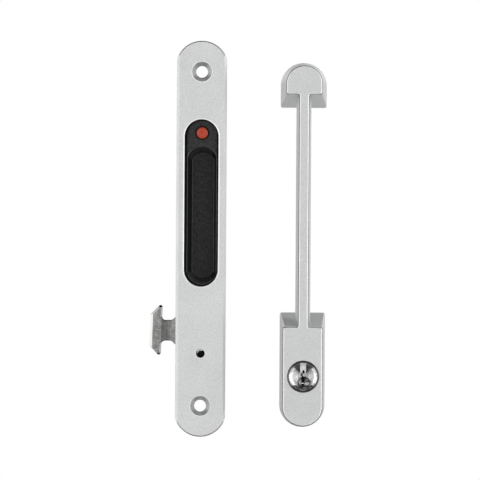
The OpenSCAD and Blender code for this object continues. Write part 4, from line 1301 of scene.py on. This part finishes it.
@dataclass(frozen=True)
class PullHandle:
    """The outside handle: two D-shaped feet and a narrow grip bar between them."""

    x: float = HANDLE_X
    front: float = -26.0
    top_z: float = 73.55
    top_base: float = 11.0
    top_face: float = 8.3
    top_base_length: float = 10.5
    top_face_length: float = 5.2
    low_z: float = -79.05
    low_base: float = 10.85
    low_face: float = 9.0
    low_base_length: float = 44.0
    low_face_length: float = 37.6
    wall: float = 2.2
    hollow_front: float = -23.3
    core_bottom: float = -80.75
    core_top: float = -45.45
    core_back: float = -3.0
    post_radius: float = 4.5
    post_hole_radius: float = 2.1
    post_hole_depth: float = 16.0
    top_post_z: float = 77.25
    low_post_z: float = -82.75
    bar_front: float = 4.25
    bar_back: float = 7.6
    bar_depth: float = -17.0
    bar_round: float = 1.4
    bar_shift: float = 0.22
    bar_bottom: float = -43.65
    bar_top: float = 70.55
    cylinder_z: float = CYLINDER_Z
    seat_radius: float = 7.55
    seat_back: float = -24.7
    bore_radius: float = 6.55
    hump_half: float = 2.95
    hump_top: float = 13.2
    hump_front: float = -22.95
    corner: float = 1.0
    bend: float = 0.9
    pad: float = 0.3
    grow: float = 0.15
    left_grow: float = 0.3
    low_grow: float = 0.3
    low_grow_from: float = 4.0
    edge: float = 0.72
    rim: float = -0.4

    def foot(self, name: str, z: float, base: float, face: float, base_length: float,
             face_length: float, side: float, inset: float, front: float) -> Workpiece:
        """Shapes a foot: a half cone with a leaning straight end.

        Args:
            name: The object's name.
            z: The height of the round end's centre.
            base: The base's radius.
            face: The front face's radius.
            base_length: How far the base runs from the centre to its straight end.
            face_length: How far the front face does.
            side: 1 if the round end is up, -1 if it is down.
            inset: How much smaller all is, for a hollow.
            front: Where the front face lies.

        Returns:
            The foot.
        """
        part = front / self.front
        radius = base + (face - base) * part - inset
        length = base_length + (face_length - base_length) * part - inset
        base, base_length = base - inset, base_length - inset
        foot = Workpiece.turned(name, self.x, z, [(self.rim, base), (front, radius)], 128)
        foot.slice((self.x, 0.0, z - side * 0.001), (0.0, 0.0, -side))
        with foot.editing():
            foot.pick(Pick.FACE, lambda f: f.normal.z * side < -0.9)
            extrude((0.0, 0.0, -side * base_length))
        slide = side * (base_length - length)
        foot.shift((0.0, 0.0, slide), lambda p: (p.z - z) * side < -base_length / 2 and near(p.y, front))
        return foot

    def feet(self, inset: float, front: float) -> list[Workpiece]:
        """Shapes both feet, or both hollows."""
        return [self.foot("top_foot", self.top_z, self.top_base, self.top_face, self.top_base_length,
                          self.top_face_length, 1.0, inset, front),
                self.foot("low_foot", self.low_z, self.low_base, self.low_face, self.low_base_length,
                          self.low_face_length, -1.0, inset, front)]

    def bar(self) -> Workpiece:
        """Shapes the grip bar, which widens towards its back."""
        front = self.front + self.pad
        part = self.pad / (self.bar_depth - self.front)
        width = self.bar_front + (self.bar_back - self.bar_front) * part
        x = self.x - self.bar_shift
        bar = Workpiece.block("bar", (x - self.bar_back / 2, front, self.bar_bottom),
                              (x + self.bar_back / 2, self.bar_depth, self.bar_top))
        with bar.editing():
            bar.pick(Pick.VERT, lambda v: near(v.co.y / MM, front))
            bpy.ops.transform.resize(value=(width / self.bar_back, 1.0, 1.0),
                                     center_override=metres((x, front, 0.0)))
        return bar.round_where(self.bar_round, 4, lambda e: near(edge_middle(e).y, self.bar_depth)
                               and abs(edge_middle(e).x - x) > 1.0)

    def face_pad(self) -> Workpiece:
        """Shapes the front face of both feet and the bar, a little wider on the left, with a painted
        highlight and a painted shade line on its rounded edge.
        """
        x, half, corner, bend = self.x, self.bar_front / 2 + self.grow, self.corner, self.bend
        top_radius, low_radius = self.top_face + self.grow, self.low_face + self.grow
        top = self.top_z - self.top_face_length - self.grow
        low = self.low_z + self.low_face_length + self.grow
        right = [*arc(x + low_radius - corner, low - corner, corner, 0.0, 90.0, 6),
                 *arc(x + half + bend, low + bend, bend, 270.0, 180.0, 6),
                 *arc(x + half + bend, top - bend, bend, 180.0, 90.0, 6),
                 *arc(x + top_radius - corner, top + corner, corner, 270.0, 360.0, 6)]
        left = [(2 * x - px, pz) for px, pz in reversed(right)]
        outline = [*right, *arc(x, self.top_z, top_radius, 0.0, 180.0, 64), *left,
                   *arc(x, self.low_z, low_radius, 180.0, 360.0, 64)]

        def widened(point: Pair) -> Pair:
            """Moves a point of the left side outwards, more so on the lower foot."""
            reach, start = max(0.0, x - point[0]), self.low_grow_from
            shift = self.left_grow * min(1.0, reach / half)
            if point[1] < self.bar_bottom + 5.0:
                shift += self.low_grow * min(1.0, max(0.0, (reach - start) / start))
            return point[0] - shift, point[1]

        pad = Workpiece.plate("face_pad", [widened(point) for point in outline], self.front,
                              self.front + 1.0)
        pad.paint(Finish.LACQUER, Finish.LACQUER_RIM, Finish.LACQUER_LINE)
        pad.tidy()
        pad.round_where(self.edge, 3, lambda e: near(edge_middle(e).y, self.front))
        # The inner faces of the rounding take the painted highlight, the outer ones the painted shade
        # line.
        pad.repaint(Finish.LACQUER_RIM, lambda f: -0.995 < f.normal.y < -0.85)
        return pad.repaint(Finish.LACQUER_LINE, lambda f: -0.85 < f.normal.y < -0.1)

    def shell(self) -> Workpiece:
        """Shapes the outside: the feet with soft corners, the bar and the face over them."""
        top, low = self.feet(0.0, self.front + self.pad)
        for piece, z, side in ((top, self.top_z, 1.0), (low, self.low_z, -1.0)):
            # Only the straight end's two edges that run from the base to the face are rounded.
            piece.round_where(self.corner, 4, lambda e: (edge_middle(e).z - z) * side < -1.0
                              and abs(e.verts[0].co.y - e.verts[1].co.y) / MM > 20.0
                              and abs(edge_middle(e).x - self.x) > 5.0)
            piece.paint(Finish.LACQUER)
            piece.tidy()
        return top.fuse(low, self.bar(), self.face_pad())

    def hollows(self) -> list[Workpiece]:
        """Shapes the hollows, less the core that holds the cylinder."""
        top, low = self.feet(self.wall, self.hollow_front)
        for piece in (top, low):
            piece.shift((0.0, 1.5, 0.0), lambda p: near(p.y, self.rim))
        low.cut(Workpiece.block("core", (self.x - 12.0, -30.0, self.core_bottom),
                                (self.x + 12.0, self.core_back, self.core_top)))
        return [top, low]

    def posts(self) -> list[Workpiece]:
        """Shapes the two fixing posts."""
        result = []
        for z in (self.top_post_z, self.low_post_z):
            post = Workpiece.turned("post", self.x, z, [(0.0, self.post_radius),
                                                        (self.hollow_front - 0.5, self.post_radius)], 48)
            post.paint(Finish.LACQUER)
            result.append(post)
        return result

    def bores(self) -> list[Workpiece]:
        """Shapes the tools for the cylinder's seat and bore and for the posts' holes."""
        z = self.cylinder_z
        bore = Workpiece.turned("bore", self.x, z, [(self.front - 1.0, self.seat_radius),
                                                    (self.seat_back, self.seat_radius),
                                                    (self.seat_back, self.bore_radius),
                                                    (1.0, self.bore_radius)])
        hump = Workpiece.block("hump", (self.x - self.hump_half, self.hump_front, z),
                               (self.x + self.hump_half, 1.0, z + self.hump_top))
        depths = [(1.0, self.post_hole_radius), (-self.post_hole_depth, self.post_hole_radius)]
        holes = [Workpiece.turned("hole", self.x, post, depths, 32)
                 for post in (self.top_post_z, self.low_post_z)]
        return [bore, hump, *holes]

    def build(self) -> Workpiece:
        """Builds the handle."""
        handle = self.shell().cut(*self.hollows()).fuse(*self.posts()).cut(*self.bores())
        handle.obj.name = "pull_handle_body"
        return handle.fit(Body.ROOT, "die_cast_silver", "handle_body", angle=30.0)


@dataclass(frozen=True)
class Bezel:
    """The chrome ring round the cylinder's plug."""

    x: float = HANDLE_X
    z: float = CYLINDER_Z
    front: float = -26.5
    back: float = -24.7
    inner: float = 6.3
    outer: float = 7.5
    dark_from: float = 6.64
    lip: tuple[Pair, ...] = ((0.5, 7.5), (0.2, 7.4), (0.05, 7.25), (0.0, 7.1), (0.0, 6.9), (0.06, 6.78),
                             (0.16, 6.6), (0.4, 6.3))

    def build(self) -> Workpiece:
        """Builds the bezel, whose lip is given by depths and radii."""
        ring = Workpiece.turned("bezel_body", self.x, self.z,
                                [(self.back, self.outer), *placed(self.lip, self.front)], 128)
        bore = Workpiece.turned("bore", self.x, self.z, [(self.front - 1.0, self.inner),
                                                         (self.back + 1.0, self.inner)], 128)
        ring.paint(Finish.CHROME, Finish.CHROME_DARK)
        ring.repaint(Finish.CHROME_DARK, lambda f: math.hypot(
            face_middle(f).x - self.x, face_middle(f).z - self.z) > self.dark_from)
        bore.paint(Finish.CHROME_DARK)
        ring.cut(bore)
        return ring.fit(Body.ROOT, "chrome_trim", "cylinder_bezel", angle=50.0)


@dataclass(frozen=True)
class KeyPlug:
    """The cylinder's plug, with its dished face, its cone and its keyway."""

    x: float = HANDLE_X
    z: float = CYLINDER_Z
    face: float = -26.1
    head_radius: float = 6.2
    dish: tuple[Pair, ...] = ((0.1, 6.2), (0.02, 6.12), (0.06, 6.04), (0.5, 5.35), (0.56, 5.2),
                              (0.74, 4.6), (1.02, 3.7), (1.32, 2.8), (1.65, 1.8))
    worn_radius: float = 5.25
    bowl_place: Pair = (0.35, -2.6)
    bowl: tuple[Pair, ...] = ((-0.8, 3.1), (1.3, 2.9), (1.6, 2.7), (1.9, 2.35), (2.15, 1.8), (2.3, 1.2),
                              (2.36, 0.5))
    boss_place: Pair = (1.9, -3.4)
    boss: tuple[Pair, ...] = ((2.7, 1.25), (1.5, 1.25), (1.3, 1.15), (1.2, 0.9), (1.16, 0.4))
    seat: float = -24.75
    seat_radius: float = 5.25
    body_front: float = -5.0
    body_back: float = -0.8
    body_radius: float = 4.0
    channel_half: float = 1.4
    channel_bottom: float = 0.9
    channel_depth: float = 1.55
    tail_half: Pair = (0.85, 3.05)
    tail_front: float = -3.8
    keyway_half: float = 0.75
    keyway_bottom: float = 4.3
    keyway_back: float = -4.7

    def keyway(self) -> Workpiece:
        """Shapes the tool for the keyway, with its steps on both sides."""
        half, bottom = self.keyway_half, -self.keyway_bottom
        steps = [(-0.3, 2.9), (-0.3, 2.1), (-0.1, 1.6), (-1.1, 1.2), (-1.1, 0.5), (-0.6, 0.0),
                 (-half, -1.0), (-half, bottom), (half, bottom), (half, -0.9), (0.5, -0.4),
                 (-0.3, 0.5), (-0.3, 0.9), (0.35, 1.5), (half, 2.1), (half, 2.9)]
        return Workpiece.plate("keyway", [(self.x + x, self.z + z) for x, z in steps],
                               self.face - 1.0, self.keyway_back)

    def turned(self, name: str, place: Pair, profile: Sequence[Pair], sides: int) -> Workpiece:
        """Turns a solid about a place on the plug's face.

        Args:
            name: The object's name.
            place: How far the axis lies from the plug's, in X and Z.
            profile: Pairs of depth behind the face and radius.
            sides: How many sides the round has.

        Returns:
            The solid.
        """
        return Workpiece.turned(name, self.x + place[0], self.z + place[1],
                                placed(profile, self.face), sides)

    def head(self) -> Workpiece:
        """Shapes the plug with its dish, which is worn but for two sectors beside the channel that take
        painted shade.
        """
        body = [(self.body_back, self.body_radius), (self.body_front, self.body_radius),
                (self.body_front, self.seat_radius), (self.seat, self.seat_radius),
                (self.seat, self.head_radius)]
        plug = Workpiece.turned("key_plug", self.x, self.z, [*body, *placed(self.dish, self.face)], 128)
        plug.paint(Finish.CHROME, Finish.WORN, Finish.CHROME_DULL)
        centre = Vector((self.x, self.face, self.z))

        def worn(face: Face) -> bool:
            """Says whether a face lies in the worn part of the dish."""
            return face.normal.y < -0.5 and (face_middle(face) - centre).length < self.worn_radius

        def shaded(face: Face) -> bool:
            """Says whether a worn face lies within 45 degrees of straight up."""
            offset = face_middle(face) - centre
            return worn(face) and abs(offset.x) < offset.z

        return plug.repaint(Finish.WORN, worn).repaint(Finish.CHROME_DULL, shaded)

    def build(self) -> Workpiece:
        """Builds the plug."""
        plug = self.head()
        # The bowl takes painted shade.
        bowl = self.turned("bowl", self.bowl_place, self.bowl, 96).paint(Finish.CHROME_DULL)
        boss = self.turned("boss", self.boss_place, self.boss, 48).paint(Finish.WORN)
        left, right = self.x - self.channel_half, self.x + self.channel_half
        channel = Workpiece.block("channel", (left, self.face - 1.0, self.z + self.channel_bottom),
                                  (right, self.face + self.channel_depth, self.z + 7.0))
        channel.paint(Finish.CHROME_BAND)
        wide, tall = self.tail_half
        tail_slot = Workpiece.block("tail_slot", (self.x - wide, self.tail_front, self.z - tall),
                                    (self.x + wide, 1.0, self.z + tall))
        keyway = self.keyway()
        # The keyway and the slot are painted near black as shade.
        for tool in (keyway, tail_slot):
            tool.paint(Finish.OXIDE)
        plug.cut(bowl, channel).fuse(boss).cut(keyway, tail_slot).tidy()
        return plug.fit(Body.KEY_PLUG, "chrome_trim", "cylinder_plug", angle=24.0)


# The set


@dataclass(frozen=True)
class Studio:
    """The camera, the lamps and the white surroundings."""

    target: Point = (18.67, 0.0, -0.48)
    distance: float = 1450.0
    roll: float = 0.36
    field: float = 229.8
    plate_front: float = -2.5
    aim: Point = (19.0, 0.0, 0.0)
    panel: Pair = (1100.0, 1300.0)
    floor_place: Point = (19.0, -50.0, -160.0)
    ambient: float = 0.5
    axis_level: float = 1.25
    top_level: float = 0.45
    gap: Pair = (-0.05, 0.15)
    gap_slope: float = 1.25
    gap_lift: float = 0.17
    gap_level: float = 0.08
    behind_left: float = 0.3
    behind_right: float = 0.7
    behind_wide: float = 0.8
    behind_above: float = 1.3
    behind_below: float = 0.5

    def camera(self) -> None:
        """Places the camera for the square picture."""
        x, _, z = self.target
        bpy.ops.object.camera_add(location=metres((x, self.plate_front - self.distance, z)),
                                  rotation=(math.pi / 2, -math.radians(self.roll), 0.0))
        camera = bpy.context.object
        camera.data.sensor_fit = "HORIZONTAL"
        camera.data.angle = 2 * math.atan(self.field / 2 / self.distance)
        camera.data.clip_start = 0.01
        bpy.context.scene.camera = camera

    def lamp(self, name: str, place: Point, size: Pair, watts: float) -> None:
        """Adds a soft lamp that shines at the part.

        Args:
            name: The lamp's name.
            place: Its place in millimetres.
            size: Its width and height in millimetres.
            watts: Its power.
        """
        bpy.ops.object.light_add(type="AREA", location=metres(place))
        lamp = bpy.context.object
        lamp.name = name
        lamp.rotation_euler = (metres(self.aim) - metres(place)).to_track_quat("-Z", "Y").to_euler()
        lamp.data.shape = "RECTANGLE"
        lamp.data.size, lamp.data.size_y = (part * MM for part in size)
        lamp.data.energy = watts

    def lamps(self) -> None:
        """Places the lamps: two large panels in front and a small one above that gives no glints."""
        self.lamp("key_left", (-1000.0, -1000.0, 150.0), self.panel, 3.6)
        self.lamp("key_right", (1040.0, -1000.0, 150.0), self.panel, 5.8)
        self.lamp("top_fill", (420.0, -250.0, 1000.0), (160.0, 120.0), 3.4)
        bpy.context.object.visible_glossy = False

    def world(self) -> None:
        """Makes the surroundings: white to the camera, a white tent in reflections, soft elsewhere."""
        world = bpy.data.worlds.new("studio")
        bpy.context.scene.world = world
        world.use_nodes = True
        tree = world.node_tree
        tree.nodes.clear()

        def put(node: bpy.types.Node, key: int | str, source: object) -> None:
            """Links a value to a node's input, or sets it where it is a number or a colour."""
            if isinstance(source, Socket):
                tree.links.new(source, node.inputs[key])
            else:
                node.inputs[key].default_value = source

        def value_of(operation: str, *sources: object) -> Socket:
            """Gives the result of a sum."""
            node = tree.nodes.new("ShaderNodeMath")
            node.operation = operation
            for index, source in enumerate(sources):
                put(node, index, source)
            return node.outputs[0]

        def step(value: Socket, low: float, high: float) -> Socket:
            """Gives a soft step from 0 to 1 between two values."""
            node = tree.nodes.new("ShaderNodeMapRange")
            node.interpolation_type = "SMOOTHSTEP"
            for key, source in (("Value", value), ("From Min", low), ("From Max", high)):
                put(node, key, source)
            return node.outputs["Result"]

        def mix(share: Socket, low: object, high: object) -> Socket:
            """Mixes two levels by the share of the second."""
            node = tree.nodes.new("ShaderNodeMix")
            for key, source in enumerate((share, None, low, high)):
                if source is not None:
                    put(node, key, source)
            return node.outputs[0]

        path = tree.nodes.new("ShaderNodeLightPath").outputs
        parts = tree.nodes.new("ShaderNodeSeparateXYZ")
        tree.links.new(tree.nodes.new("ShaderNodeTexCoord").outputs["Generated"], parts.inputs[0])
        x, y, z = parts.outputs
        width, height = value_of("ABSOLUTE", x), value_of("ABSOLUTE", z)
        round_axis = value_of("ADD", value_of("MULTIPLY", x, x), value_of("MULTIPLY", z, z))
        leaning = value_of("ABSOLUTE", value_of("ADD", z, self.gap_lift))
        side = value_of("SUBTRACT", width, value_of("MULTIPLY", leaning, self.gap_slope))
        sides = mix(step(x, -0.2, 0.2), 1.0, 0.9)
        tent = mix(step(side, *self.gap), self.gap_level, sides)
        tent = mix(step(round_axis, 0.03, 0.12), self.axis_level, tent)
        tent = mix(step(height, 0.88, 0.97), tent, self.top_level)
        behind = mix(step(x, -0.25, 0.25), self.behind_left, self.behind_right)
        for value, low, high, level in ((width, 0.22, 0.38, self.behind_wide),
                                        (z, 0.09, 0.17, self.behind_above),
                                        (z, 0.28, 0.45, mix(step(x, -0.2, 0.2), 0.0, 0.25)),
                                        (z, -0.03, -0.2, self.behind_below)):
            behind = mix(step(value, low, high), behind, level)
        shown = mix(step(y, -0.05, 0.05), tent, behind)
        sheen = value_of("MAXIMUM", path["Is Glossy Ray"], path["Is Transmission Ray"])
        final = mix(path["Is Camera Ray"], mix(sheen, self.ambient, shown), 1.0)
        background = tree.nodes.new("ShaderNodeBackground")
        put(background, "Color", (1.0, 1.0, 1.0, 1.0))
        put(background, "Strength", final)
        output = tree.nodes.new("ShaderNodeOutputWorld")
        tree.links.new(background.outputs[0], output.inputs["Surface"])

    def floor(self) -> None:
        """Lays a pale floor under the part, below the main picture."""
        deselect_all()
        bpy.ops.mesh.primitive_grid_add(x_subdivisions=2, y_subdivisions=2, size=1.0,
                                        location=metres(self.floor_place))
        piece = Workpiece.settle("studio_floor")
        with piece.editing():
            bpy.ops.mesh.select_all(action="SELECT")
            bpy.ops.transform.resize(value=(1.4, 1.1, 1.0))
        board = NodeBoard("floor_paper")
        board.feed("Base Color", board.blend(board.even(board.noise(3.0)), (0.86, 0.86, 0.86),
                                             (0.88, 0.88, 0.88)))
        board.set("Roughness", 0.7)
        piece.obj.data.materials.append(board.material)
        piece.obj.visible_glossy = False

    def build(self) -> None:
        """Builds the whole set."""
        self.camera()
        self.lamps()
        self.world()
        self.floor()
        bpy.context.scene.view_settings.view_transform = "Standard"


def dress_solids(pieces: Sequence[Workpiece]) -> None:
    """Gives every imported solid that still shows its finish, which is a screw's unless it is named."""
    solids = {name: obj for name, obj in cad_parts.items() if not obj.hide_render}
    LOG.info("%d modelled pieces, %d solids", len(pieces), len(solids))
    for name, obj in solids.items():
        obj.data.materials.clear()
        obj.data.materials.append(SOLID_FINISHES.get(name, Finish.SCREW).material())


def main() -> None:
    """Builds the lock's looks and its set."""
    logging.basicConfig(level=logging.INFO, format="%(message)s")
    pieces = [part.build() for part in (FacePlate(), FingerPull(), IndicatorDot(), ClampScrew(),
                                        DoubleHook(), PullHandle(), Bezel(), KeyPlug())]
    dress_solids(pieces)
    Studio().build()


if __name__ == "__main__":
    main()
